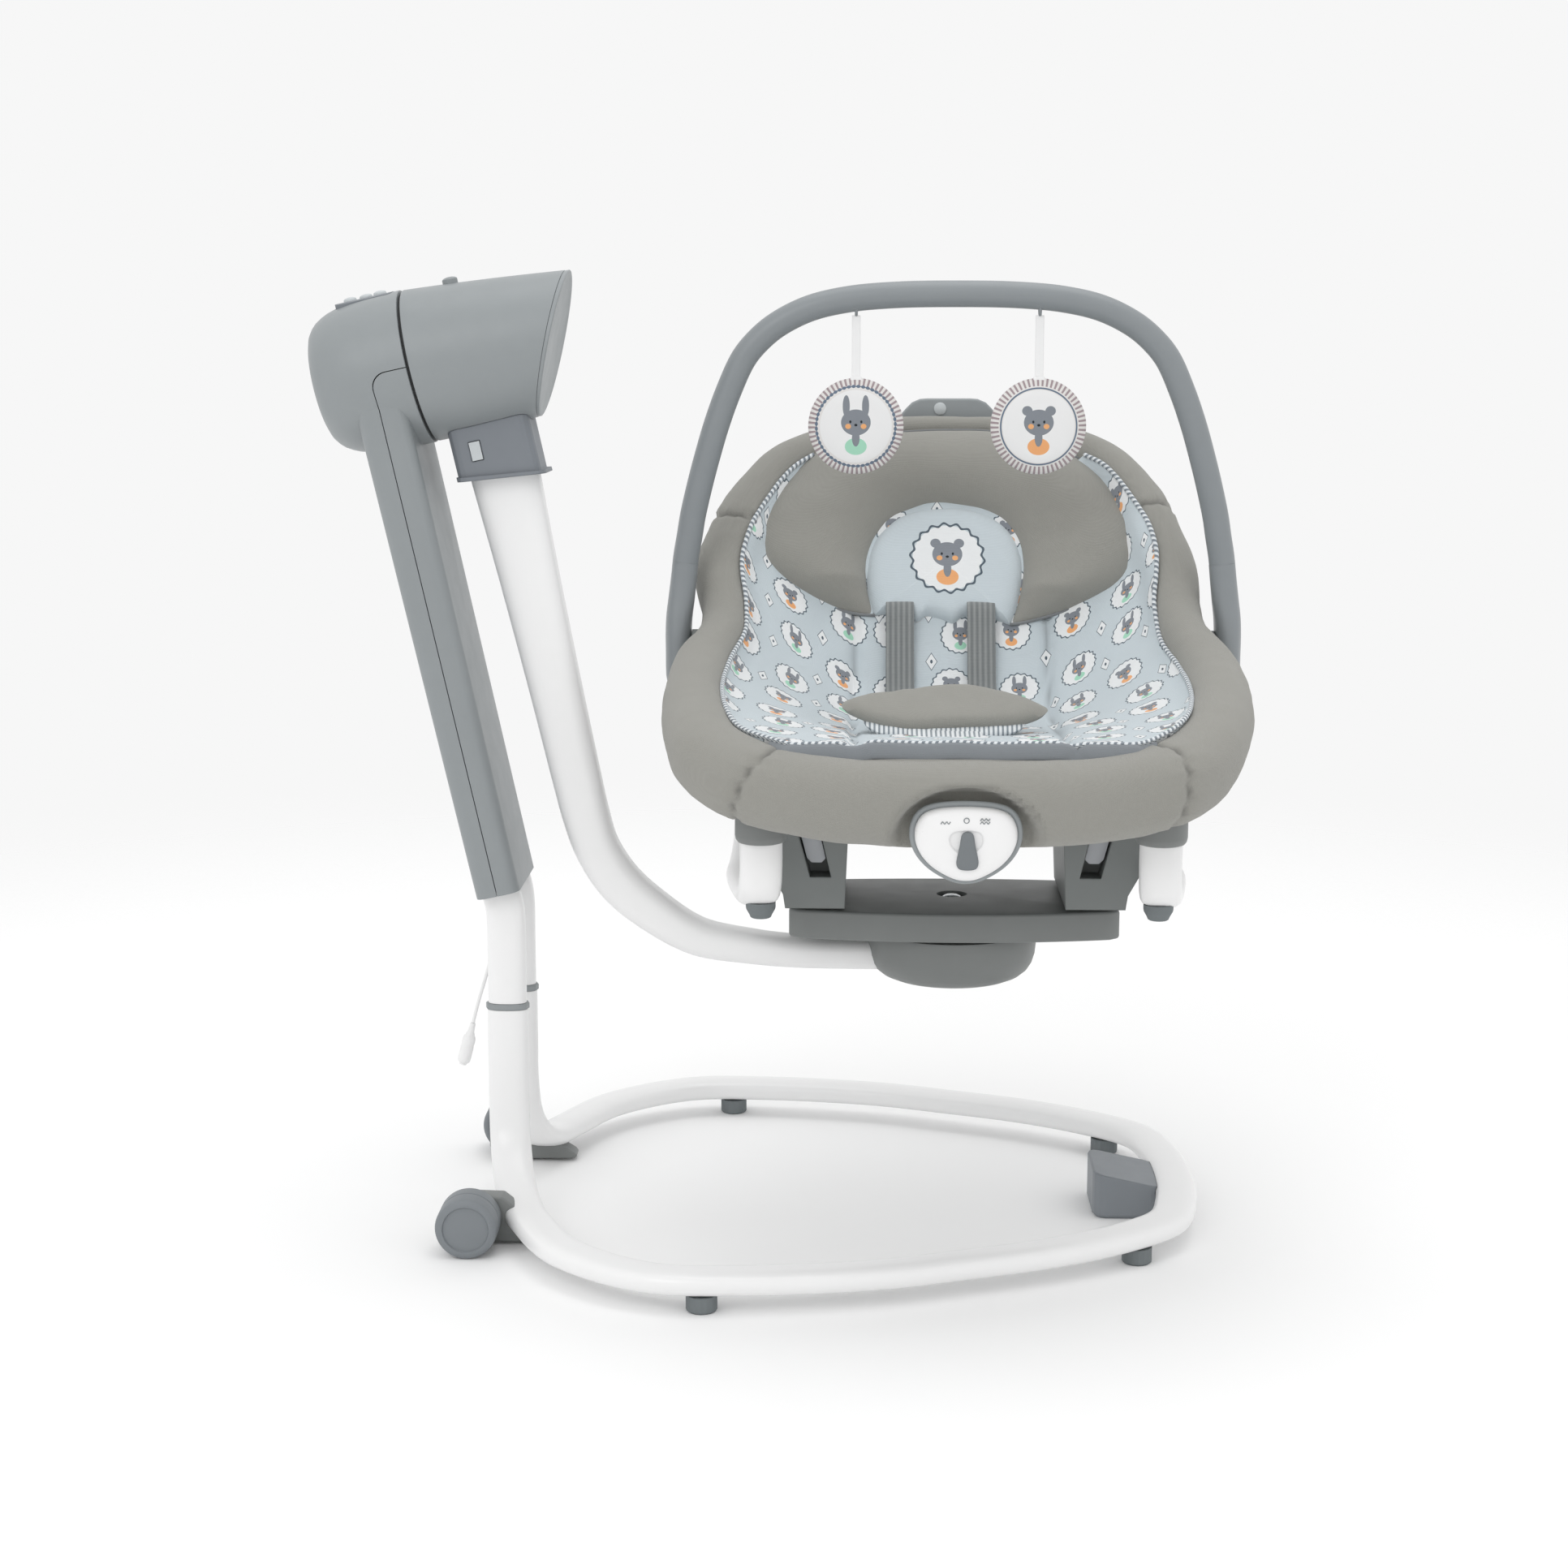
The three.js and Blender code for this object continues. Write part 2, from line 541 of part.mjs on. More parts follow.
// The arm's path: [X, Z, half width in the plane of the path, half depth]; it starts inside the collar.
function armStations() {
  const upper = [[-76, 33.5], [-116, 31.7], [-200, 28], [-317, 24.4], [-400, 22.8]].map(([r, half]) => {
    const p = fromHead(ARM_S, 0, r);
    return [p.x, p.z, half, 20];
  });
  return [
    ...upper, [-343, 375, 22, 21], [-332.5, 343, 21, 21.5], [-312, 311, 21, 22], [-284, 286, 20, 22.5],
    [-240, 259.5, 17.5, 23], [-190, 249.8, 15.5, 23.5], [-147, 245.5, 14.5, 24], [-100, 244.6, 14.5, 24],
    [-45, HUB_ARM_HEIGHT, 14.5, 24],
  ];
}

function armForm(grow, extend = 0) {
  const stations = armStations();
  const rings = stations.map(([x, z, half, depth], i) => {
    const [before, after] = [stations[Math.max(i - 1, 0)], stations[Math.min(i + 1, stations.length - 1)]];
    const along = V(after[0] - before[0], 0, after[1] - before[1]).normalize();
    const across = V(-along.z, 0, along.x);
    const offset = i === 0 ? -extend : (i === stations.length - 1 ? grow : 0);
    return oval(half + grow, depth + grow, 14, 2.8)
      .map((p) => V(x, p.y, z).addScaledVector(across, p.x).addScaledVector(along, offset));
  });
  return skin(rings);
}

function buildArm() {
  const inside = armForm(-2.5, 20);
  const plug = box([-75, -40], [-40, 40], [200, 300]);
  part('arm_tube', cut(armForm(0), cut(inside, plug)), whiteTube);

  const socket = armForm(GAP, GAP).applyMatrix4(head.matrix.clone().invert());
  const [low, high] = [ARM_S - COLLAR_HALF - 2, ARM_S + COLLAR_HALF - 2];
  const body = slabY([[low, -40], [high, -40], [high, -115],
    [low + 1, -105.4]].map(([s, r]) => new THREE.Vector2(s, r)), -50, 50);
  const flange = slabY(
    [[low - 1, -105.2], [high + 4, -115], [high + 4, -118.5],
      [low - 1, -109.5]].map(([s, r]) => new THREE.Vector2(s, r)), -50, 50);
  const plan = (x0, x1, half) => slabZ(roundedBox((x1 - x0) / 2, half, 9), -140,
    -20).translate((x0 + x1) / 2, 0, 0);
  const rotorSpace = rotorForm(GAP);
  const front = -COLLAR_HALF_DEPTH;
  const slot = box([31.5, 42.5], [front - 1, front + 5], [-94.5, -76.5]);
  const whole = join(common(body, plan(low, high, COLLAR_HALF_DEPTH)),
    common(flange, plan(low - 1, high + 4, COLLAR_HALF_DEPTH + 3)));
  part('arm_collar', cut(whole, rotorSpace, socket, slot), darkGrey, head);
  part('collar_button', box([32.1, 41.9], [front - 1.2, front + 2.6], [-93.9, -77.1]), paleButton, head);
}

// ---- turntable ------------------------------------------------------------------------------------------
function bowedOutline(half, front, bow, rear, corner) {
  const points = [];
  for (let i = 0; i <= 6; i += 1) {
    const x = mix(-half + corner, half - corner, i / 6);
    points.push(new THREE.Vector2(x, -front - bow * (1 - (x / half) ** 2)));
  }
  points.push(new THREE.Vector2(half, -front + corner * 0.6), new THREE.Vector2(half, rear - corner));
  for (let i = 6; i >= 0; i -= 1) {
    const x = mix(-half + corner, half - corner, i / 6);
    points.push(new THREE.Vector2(x, rear + bow * 0.6 * (1 - (x / half) ** 2)));
  }
  points.push(new THREE.Vector2(-half, rear - corner), new THREE.Vector2(-half, -front + corner * 0.6));
  return points;
}

function buildTurntable() {
  const bowl = turned([
    [0, HUB_BOTTOM], [48, HUB_BOTTOM], [62, HUB_BOTTOM + 2], [71, HUB_BOTTOM + 8], [77, HUB_BOTTOM + 20],
    [HUB_RADIUS - 0.5, HUB_BOTTOM + 35], [HUB_RADIUS, HUB_TOP], [0, HUB_TOP],
  ], 28);
  const bore = rod(BOLT_RADIUS + 0.4, HUB_BOTTOM + 22, HUB_TOP + 10);
  part('hub_bowl', cut(bowl, armForm(GAP), bore), warmGrey);

  const boss = rod(62, HUB_TOP + GAP, TRAY_TOP - 2, 24);
  const shell = slabZ(bowedOutline(TRAY_HALF, TRAY_HALF_DEPTH, TRAY_BOW, 62, 9), TRAY_BOTTOM, TRAY_TOP, 3);
  const hollow = slabZ(bowedOutline(TRAY_HALF - 4, TRAY_HALF_DEPTH - 4, TRAY_BOW, 58, 7), TRAY_BOTTOM - 2,
    TRAY_TOP - 4);
  const pegs = sides.map(([, side]) => box(
    [-PEG_SIZE[0] / 2, PEG_SIZE[0] / 2], [-PEG_SIZE[1] / 2, PEG_SIZE[1] / 2],
      [TRAY_TOP - 2, TRAY_TOP + PEG_SIZE[2]],
  ).translate(side * PEG_X, TOWER_Y, 0));
  const sink = turned([[0, HUB_TOP - 5], [BOLT_RADIUS + 0.4, HUB_TOP - 5],
    [BOLT_RADIUS + 0.4, TRAY_TOP - 7], [14, TRAY_TOP - 7],
    [14, TRAY_TOP + 5], [0, TRAY_TOP + 5]], 20);
  part('cradle_tray', cut(join(cut(shell, hollow), boss, ...pegs), sink), warmGrey);
  const bolt = turned([
    [0, HUB_BOTTOM + 24], [BOLT_RADIUS, HUB_BOTTOM + 24], [BOLT_RADIUS, TRAY_TOP - 7 + GAP],
      [10.5, TRAY_TOP - 7 + GAP],
    [10.5, TRAY_TOP - 4], [7, TRAY_TOP - 1.6], [0, TRAY_TOP - 1],
  ], 12);
  part('turn_bolt', bolt, steel);
}

// ---- seat frame -----------------------------------------------------------------------------------------
const TOWER_Y = -13;
const TOWER_BOTTOM = TRAY_TOP + 4;
const PLATE_TOP = PLATE_BOTTOM + PLATE_THICK;
const LATCH_LEAN = 0.25; // sideways travel of a latch for each millimetre it rises
const points2 = (pairs, side = 1) => pairs.map(([x, z]) => new THREE.Vector2(side * x, z));
const between = (a, b) => [Math.min(a, b), Math.max(a, b)];

function buildTowers() {
  const top = PLATE_BOTTOM - GAP;
  const outline = [[100, TOWER_BOTTOM], [154, TOWER_BOTTOM], [156, 318], [166, 336], [168, top], [96, top]];
  const half = TOWER_HALF_DEPTH - 9;
  for (const [hand, side] of sides) {
    const body = slabY(points2(outline, side), TOWER_Y - half, TOWER_Y + half);
    const [px, py] = [PEG_SIZE[0] / 2 + 1.5, PEG_SIZE[1] / 2 + 1.5];
    const socket = box([-px, px], [-py, py], [TOWER_BOTTOM - 2, TRAY_TOP + PEG_SIZE[2] + GAP])
      .translate(side * PEG_X, TOWER_Y, 0);
    const front = TOWER_Y - half;
    const window = slabY(points2([[112.3, 334], [131.5, 334], [144.5, 382], [123.5, 382]], side), front - 5,
      front + 28);
    part(`latch_tower_${hand}`, cut(body, socket, window), warmGrey);
    const tip = [[121, 346], [130, 346], [134.2, 350], [140.7, 374], [123, 374], [117.3, 350]];
    part(`latch_${hand}`, slabY(points2(tip, side), front + 8, front + 17), paleButton);
  }
}

function buildBasePlate() {
  const half = [
    [0, -214], [148, -212], [RUNNER_FRONT[0] + 14, RUNNER_FRONT[1] - 6], [178, -168], [178, 100],
    [RUNNER_REAR[0] + 12, 138], [RUNNER_REAR[0] + 12, 160], [170, 171], [0, 171],
  ];
  const outline = [...half, ...half.slice(1, -1).reverse().map(([x, y]) => [-x, y])];
  const plate = slabZ(points2(outline), PLATE_BOTTOM, PLATE_TOP);
  const cup = (top) => turned([
    [0, PLATE_BOTTOM - 10], [CUP_RADIUS - 2, PLATE_BOTTOM - 10], [CUP_RADIUS, PLATE_BOTTOM - 7],
    [CUP_RADIUS, top - 6], [CUP_RADIUS - 5, top], [0, top],
  ], 14);
  const cups = sides.flatMap(([, side]) => [
    cup(PLATE_TOP + 32).translate(side * RUNNER_FRONT[0], RUNNER_FRONT[1], 0),
    cup(PLATE_TOP + 28).translate(side * RUNNER_REAR[0], RUNNER_REAR[1], 0),
  ]);
  const runners = sides.map(([, side]) => runnerForm(side, GAP));
  part('seat_base_plate', cut(join(plate, ...cups), ...runners), warmGrey);
}

function runnerForm(side, grow = 0) {
  const [[fx, fy], [rx, ry]] = [RUNNER_FRONT, RUNNER_REAR];
  const z = RUNNER_HEIGHT;
  const path = [
    [fx, fy, PLATE_TOP + 20 + grow], [fx, fy, z + 50], [fx, fy + 0.5, z + 27], [fx + 1, fy + 6, z + 10],
      [fx + 4, fy + 24, z - 0.5],
    [rx - 1.5, -88, z - 4], [rx - 1, -20, z - 6], [rx - 0.5, 60, z - 3], [rx + 1, ry - 32, z + 2],
    [rx + 1, ry - 8, z + 12], [rx + 0.5, ry, z + 32], [rx, ry, z + 60], [rx, ry, PLATE_TOP + 17 + grow],
  ].map(([x, y, h]) => V(side * x, y, h));
  const guide = (p, t) => V(0, -t.z, t.y);
  return sweep(new GuidedCurve(path, guide), oval(RUNNER_WIDE / 2 + grow, RUNNER_THICK / 2 + grow, 10, 2.4),
    26);
}

function buildRunners() {
  for (const [hand, side] of sides) {
    part(`runner_${hand}`, runnerForm(side), whiteTube);
    const foot = turned([[0, 318], [9, 318], [13, 327], [13, 336], [0, 336]], 16)
      .translate(side * (RUNNER_FRONT[0] + 1), RUNNER_FRONT[1] + 18, 0);
    part(`runner_foot_${hand}`, cut(foot, runnerForm(side, GAP)), rubberGrey);
  }
}

function buildSideHubs() {
  const [inner, outer] = [HUB_PLATE_X, HUB_PLATE_X + HUB_PLATE_THICK];
  const floor = PLATE_TOP + GAP;
  const outline = [
    [150, floor], [190, floor], [outer - 12, floor + 13], [outer, floor + 28], [outer, 552], [inner, 552],
    [inner, floor + 33], [inner - 12, floor + 20], [186, floor + 9], [150, floor + 9],
  ];
  const [axisY, axisZ] = HANDLE_AXIS;
  const side2 = [[36, 400], [84, 400], [86, 460], [86, 515]];
  for (let i = 0; i <= 8; i += 1) {
    const angle = (Math.PI / 8) * i;
    side2.push([axisY + 24 * Math.cos(angle), axisZ + 4 + 24 * Math.sin(angle)]);
  }
  side2.push([34, 515], [34, 460]);
  for (const [hand, side] of sides) {
    const body = common(slabY(points2(outline, side), 20, 100),
      slabX(points2(side2), ...between(side * 140, side * 260)));
    const hole = (radius, [y, z]) => turnedX([[0, -20], [radius, -20], [radius, 20], [0, 20]], 20)
      .translate(side * (inner + 3), y, z);
    part(`side_hub_${hand}`, cut(body, hole(8.6, HANDLE_AXIS), hole(6.6, RECLINE_AXIS)), warmGrey);
  }
}

// ---- carrying handle ------------------------------------------------------------------------------------
function buildHandle() {
  const side = [
    [259, 548], [257.5, 562], [255, 580], [251.5, 612], [248, 632], [245, 650], [238.5, 678], [231, 706],
      [222, 736],
    [211, 766], [197, 796], [184, 812], [166, 827], [136, 842], [100, 850.5], [56, 854.5],
  ].map(([x, z]) => [x, z + (HANDLE_TOP - 855.5)]);
  const [axisY, axisZ] = HANDLE_AXIS;
  const path = [...side, [0, HANDLE_TOP], ...side.map(([x, z]) => [-x, z]).reverse()].map(([x, z]) => V(x,
    axisY, z));
  const tube = sweep(new GuidedCurve(path, () => V(0, 1, 0)), oval(HANDLE_RADIUS, HANDLE_RADIUS, 10), 36);
  const [low, high] = [HUB_PLATE_X + HUB_PLATE_THICK + 1, HUB_PLATE_X + HUB_PLATE_THICK + 1 + POD_THICK];
  const pod = [];
  for (let i = 0; i <= 8; i += 1) {
    const angle = Math.PI + (Math.PI / 8) * i;
    pod.push([axisY + 23 * Math.cos(angle), axisZ + 23 * Math.sin(angle)]);
  }
  pod.push([axisY + 22, axisZ + 28], [axisY + 13, axisZ + 47], [axisY - 13, axisZ + 47],
    [axisY - 22, axisZ + 28]);
  const pods = sides.flatMap(([, s]) => [
    slabX(points2(pod), ...between(s * low, s * high), 2.5),
    turnedX([[0, -(low - HUB_PLATE_X - 1)], [8, -(low - HUB_PLATE_X - 1)], [8, 3], [0, 3]],
      20).rotateZ(s > 0 ? 0 : Math.PI)
      .translate(s * low, axisY, axisZ),
  ]);
  const hooks = TOY_X.map((x) => box([x - 4, x + 4], [axisY - 3, axisY + 3],
    [HOOK_HEIGHT + 3 * GAP, HANDLE_TOP - 8]));
  part('handle_bar', join(tube, ...pods, ...hooks), coolGrey);
}

function buildToys() {
  TOY_X.forEach((x, i) => {
    const disc = turned([
      [0, -TOY_THICK / 2], [TOY_RADIUS - 10, -TOY_THICK / 2], [TOY_RADIUS - 3, -TOY_THICK / 4],
        [TOY_RADIUS, 0],
      [TOY_RADIUS - 3, TOY_THICK / 4], [TOY_RADIUS - 10, TOY_THICK / 2], [0, TOY_THICK / 2],
    ], 24).rotateX(Math.PI / 2);
    const strap = box([-4, 4], [-1.5, 1.5], [TOY_RADIUS - 6, HOOK_HEIGHT - TOY_HEIGHT]);
    part(`toy_${sides[i][0]}`, join(disc, strap), toyCloth).position.set(x, HANDLE_AXIS[0], TOY_HEIGHT);
  });
}

// ---- soft seat ------------------------------------------------------------------------------------------
// The seat's rolled rim, half of it from the front to the back: [X, Y, Z, roll half depth, roll half height].
const RIM = [
  [0, -286, 445, 37, 40], [60, -284, 445.5, 37, 40], [118, -270.5, 448, 35, 39], [174.5, -241.5, 455, 32.5, 37],
  [211.5, -203, 464, 31, 33], [226, -170, 474, 30, 30], [234, -100, 492, 28, 28], [230, -20, 514, 27, 27],
  [215, 35, 537, 22, 23], [213, 66, 556, 22, 23], [214, 105, 591, 25, 27], [204, 132, 620, 27, 27],
  [190, 160, 652, 25, 25], [152, 202, 697, 21, 21], [88, 228, 722, 15, 16], [0, 236, 728, 13, 14],
];
// The rows of the seat's inner surface: its lowest line at X = 0 [Y, Z], and its edge at the rim [X, Y, Z].
const ROWS = [
  [-276, 465, 120, -274, 464], [-258, 472, 150, -256, 470], [-225, 469, 196, -222, 476],
    [-178, 464, 220, -176, 484], [-100, 457, 230, -100, 498],
  [-20, 450, 226, -18, 518], [35, 452, 211, 35, 540], [70, 468, 208, 66, 560], [94, 500, 210, 92, 584],
  [122, 550, 206, 120, 610], [150, 602, 190, 153, 646], [180, 656, 156, 194, 692], [204, 694, 100, 220, 716],
];
const ACROSS = 6; // steps from the middle of a row to its edge

function rimTorus(grow = 0) {
  const half = RIM.slice(1, -1);
  const all = [...RIM, ...half.reverse().map(([x, ...rest]) => [-x, ...rest])];
  const centre = new THREE.CatmullRomCurve3(all.map(([x, y, z]) => V(x, y, z)), true, 'centripetal');
  const sizes = new THREE.CatmullRomCurve3(all.map(([, , , deep, high]) => V(deep, high, 0)), true,
    'centripetal');
  const steps = 34;
  const rings = Array.from({ length: steps }, (_, i) => {
    const t = i / steps;
    const [p, size, along] = [centre.getPoint(t), sizes.getPoint(t), centre.getTangent(t)];
    const outward = V(along.y, -along.x, 0).normalize();
    const up = outward.clone().cross(along).normalize();
    return oval(size.x + grow, size.y + grow, 10).map((c) => p.clone().addScaledVector(outward,
      c.x).addScaledVector(up, c.y));
  });
  const at = (u, v, target) => target.copy(rings[Math.round(v * steps) % steps][Math.round(u * 10) % 10]);
  return welded(new ParametricGeometry(at, 10, steps));
}

/** A point on the seat's inner surface, raised by some height: row may be fractional,
  and across runs -1 to 1. */
function seatPoint(row, across, raise) {
  const k = Math.min(Math.floor(row), ROWS.length - 2);
  const pick = (i) => mix(ROWS[k][i], ROWS[k + 1][i], row - k);
  const [sy, sz, rx, ry, rz] = [0, 1, 2, 3, 4].map(pick);
  const share = Math.abs(across);
  const rise = share ** 3;
  const [before, after] = [ROWS[Math.max(Math.round(row) - 1, 0)],
    ROWS[Math.min(Math.round(row) + 1, ROWS.length - 1)]];
  const along = V(0, after[0] - before[0], after[1] - before[1]).normalize();
  const slope = (3 * share ** 2 * Math.hypot(ry - sy, rz - sz)) / rx;
  const normal = V(-Math.sign(across) * slope, -along.z, along.y).normalize();
  return V(rx * across, mix(sy, ry, rise), mix(sz, rz, rise)).addScaledVector(normal, raise);
}

/** A closed sheet over some rows of the seat's inner surface,
  between two heights above it; reach is its width. */
function seatSheet([firstRow, lastRow], reach, low, high) {
  const band = [];
  for (let row = firstRow; row <= lastRow; row += 1) {
    const line = (raise) => Array.from({ length: 2 * reach + 1 },
      (_, j) => seatPoint(row, (j - reach) / ACROSS, raise));
    band.push([line(low), line(high)]);
  }
  const middle = ([bottom, top]) => bottom.map((p, j) => p.clone().add(top[j]).multiplyScalar(0.5));
  const seam = (line) => [...line, ...line.slice().reverse()];
  const rings = [seam(middle(band[0])), ...band.map(([b, t]) => [...b, ...t.slice().reverse()]),
    seam(middle(band.at(-1)))];
  const [around, steps] = [rings[0].length, rings.length - 1];
  const at = (u, v, target) => target.copy(rings[Math.round(v * steps)][Math.round(u * around) % around]);
  return welded(new ParametricGeometry(at, around, steps));
}

/** Everything behind the hinge line of the backrest,
  which leans forward; turned back by an angle for the gap. */
function behindHinge(shift, turnBack = 0) {
  const outline = [[0, -200], [400, -200], [400, 500], [-60, 500], [-15, 90], [0, 0]];
  const [y, z] = RECLINE_AXIS;
  return slabX(points2(outline), -400, 400).rotateX(turnBack).translate(0, y + shift, z);
}

const frontRing = () => [
  [229.1, 44, 512], [229.1, 28, 514], [228.5, 8, 512], [228, -20, 508], [230, -60, 497], [229, -110, 485],
    [222, -160, 473],
  [206, -195, 464], [176, -230, 455], [130, -258, 448], [70, -276, 444.5],
];
const backRing = () => [
  [229.1, 72, 455], [228.6, 75, 480], [226, 81, 510], [219, 87, 548], [214, 104, 585], [205, 132, 620],
    [190, 160, 652],
  [152, 202, 697], [88, 228, 722],
];

function ringTube(half, middle, grow = 0) {
  const mirrored = half.map(([x, y, z]) => [-x, y, z]).reverse();
  const path = [...half, middle, ...mirrored].map((p) => V(...p));
  for (const [end, next] of [[0, 1], [path.length - 1, path.length - 2]]) {
    path[end].addScaledVector(path[end].clone().sub(path[next]).normalize(), grow);
  }
  const radius = SEAT_TUBE_RADIUS + grow;
  const curve = new GuidedCurve(path, (p, t) => V(0, 0, 1).addScaledVector(V(0, 1, 0), Math.abs(t.z)));
  return sweep(curve, oval(radius, radius, 8), 30);
}

function buildSeatRings() {
  part('seat_ring', ringTube(frontRing(), [0, -283, 443]), whiteTube);
  const [y, z] = RECLINE_AXIS;
  const pins = sides.map(([, side]) => turnedX([[0, -8], [11, -8], [11, 9], [6, 9], [6, 16], [0, 16]], 16)
    .rotateZ(side > 0 ? 0 : Math.PI).translate(side * 229.1, y, z));
  part('back_ring', join(ringTube(backRing(), [0, 234, 726]), ...pins), whiteTube);
}

function buildSoftSeat() {
  const bowl = seatSheet([0, ROWS.length - 1], ACROSS, -16, 0);
  const cover = join(rimTorus(), bowl);
  const cups = sides.map(([, side]) => rod(CUP_RADIUS + 1.5, 380, PLATE_TOP + 34, 20)
    .translate(side * RUNNER_FRONT[0], RUNNER_FRONT[1], 0));
  const behind = behindHinge(-0.4);
  const unitSpace = slabY(points2(unitOutline(1.5)), -360, -296);
  part('seat_cover', cut(cover, behind, ringTube(frontRing(), [0, -283, 443], 2 * GAP), ...cups, unitSpace),
    coverCloth);
  const gap = RECLINE_BACK + THREE.MathUtils.degToRad(1);
  const handleSpace = box([-53, 56], [246.4, 280], [700, 780]);
  part('back_cover', cut(
    common(cover, behindHinge(0.4), behindHinge(0.4, gap)), ringTube(backRing(), [0, 234, 726], 4 * GAP),
      handleSpace,
  ), coverCloth);

  const [lining, padTop] = [[1, ROWS.length - 2], 2 * GAP + INSERT_THICK];
  const roll = rimTorus(2 * GAP);
  const bowlSpace = seatSheet([0, ROWS.length - 1], ACROSS, -16, 4 * GAP);
  const insert = cut(seatSheet(lining, ACROSS - 1, -4, padTop), roll, bowlSpace);
  part('seat_insert', cut(insert, behindHinge(-0.4)), linerCloth);
  const backInsert = common(insert, behindHinge(0.4), behindHinge(0.4, gap));
  part('back_insert', backInsert, linerCloth);
  const pillow = seatSheet([9, 11], ACROSS - 1, padTop + 6 * GAP, padTop + 17);
  part('head_pillow', cut(pillow, roll), linerCloth);
}

function unitOutline(grow) {
  const half = [[8, 379], [20, 385], [32, 394], [39, 404], [42, 416], [40, 426], [34, 433], [22, 437.5]];
  return [...half, ...half.map(([x, z]) => [-x, z]).reverse()]
    .map(([x, z]) => [x + Math.sign(x) * grow, z + (z > 416 ? grow : -grow)]);
}

function buildVibrationUnit() {
  part('vibration_unit', slabY(points2(unitOutline(0)), -315, -296.5), whiteShell);
  const knob = [[-3, 14], [3, 14], [6, 4], [9, -6], [8, -13], [0, -16], [-8, -13], [-9, -6], [-6, 4]];
  part('vibration_knob', slabY(points2(knob), -5.5, -GAP), darkGrey).position.set(1, -315, 404.5);
}

/** The flap between the legs, and the two shoulder straps that lie from the backrest down to it. */
function buildHarness() {
  const lens = Array.from({ length: 24 }, (_, i) => {
    const angle = (2 * Math.PI * i) / 24;
    return [92 * Math.cos(angle), 31 * Math.sin(angle) * (0.75 + 0.25 * Math.abs(Math.sin(angle)))];
  });
  const flap = slabZ(points2(lens), -6, 6, 2.5).rotateX(THREE.MathUtils.degToRad(24)).translate(-11.5, -92,
    491);
  const strap = box([-30, 8], [-102, -84], [469, 490]);
  part('crotch_pad', join(flap, strap), warmGrey);

  // Each strap follows the seat from the backrest's slot and then rises to the flap.
  STRAP_X.forEach((x, i) => {
    const outward = Math.sign(x + 10) * 16;
    const lying = [[8.8, 1, 15], [8.4, 0.9, 15], [7.9, 0.75, 15], [7.3, 0.5, 15.5], [6.6, 0.3, 16],
      [5.9, 0.1, 17]];
    const path = lying.map(([row, share, raise]) => seatPoint(row, (x + outward * share) / 208, raise));
    path.push(V(x, -22, 475), V(x, -45, 486), V(x, -58, 493));
    const strip = sweep(new GuidedCurve(path, (p, t) => V(0, -t.z, t.y)), oval(STRAP_WIDE / 2, 1.5, 8, 4),
      14);
    part(`shoulder_strap_${sides[i][0]}`, strip, webbing);
  });
}

function buildReclineHandle() {
  const outline = [[-51, 720], [54, 720], [54, 735], [42, 750], [30, 755], [-28, 755], [-40, 750],
    [-51, 735]];
  part('recline_handle', slabY(points2(outline), 247, 262), darkGrey);
}

buildFloorFrame();
buildWheels();
buildBaseBlock();
buildHead();
buildPanel();
buildLead();
buildRotor();
buildArm();
buildTurntable();
buildTowers();
buildBasePlate();
buildRunners();
buildSideHubs();
buildHandle();
buildToys();
buildSeatRings();
buildSoftSeat();
buildVibrationUnit();
buildHarness();
buildReclineHandle();

export default swing;
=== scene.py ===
import math

import bmesh
import bpy
import numpy as np
from mathutils import Matrix, Vector, noise
from mathutils.bvhtree import BVHTree


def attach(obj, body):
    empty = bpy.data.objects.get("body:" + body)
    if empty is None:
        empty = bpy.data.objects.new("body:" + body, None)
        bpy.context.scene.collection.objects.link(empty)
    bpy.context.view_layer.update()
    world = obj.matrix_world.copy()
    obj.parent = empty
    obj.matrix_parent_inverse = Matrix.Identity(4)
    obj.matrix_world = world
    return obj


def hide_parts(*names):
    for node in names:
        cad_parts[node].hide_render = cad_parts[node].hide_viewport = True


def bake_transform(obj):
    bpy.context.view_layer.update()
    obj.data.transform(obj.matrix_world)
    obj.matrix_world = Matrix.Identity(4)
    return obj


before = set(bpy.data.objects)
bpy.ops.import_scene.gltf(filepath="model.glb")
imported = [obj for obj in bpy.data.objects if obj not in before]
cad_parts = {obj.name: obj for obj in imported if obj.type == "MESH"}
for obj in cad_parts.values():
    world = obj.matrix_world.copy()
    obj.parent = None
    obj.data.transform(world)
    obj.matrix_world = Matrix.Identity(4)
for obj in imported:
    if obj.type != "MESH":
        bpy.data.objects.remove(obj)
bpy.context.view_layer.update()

seatAxis = np.array((159.0, 7.0, 0.0))  # where the seat turns, in millimetres
headTilt = math.radians(12.4)  # how far the post and the head lean back
headCentre = np.array((-490.0, 0.0, 790.0))  # all sizes below are millimetres from the seat's axis
postLength = 485


def metres(points):
    return (np.array(points, float).reshape(-1, 3) + seatAxis) * 0.001


def fromHead(s, y, r):
    c, n = math.cos(headTilt), math.sin(headTilt)
    return headCentre + np.array((s * c - r * n, y, s * n + r * c))


# camera
view = {"place": (-88, -2427, 820), "down": 9.7055, "left": 1.6386, "lens": 60.577}
camera = bpy.data.objects.new("camera", bpy.data.cameras.new("camera"))
bpy.context.scene.collection.objects.link(camera)
camera.location = metres(view["place"])[0]
camera.rotation_euler = (math.radians(90 - view["down"]), 0, math.radians(view["left"]))
camera.data.lens = view["lens"]
camera.data.clip_end = 30
bpy.context.scene.camera = camera
bpy.context.scene.view_settings.view_transform = "Standard"


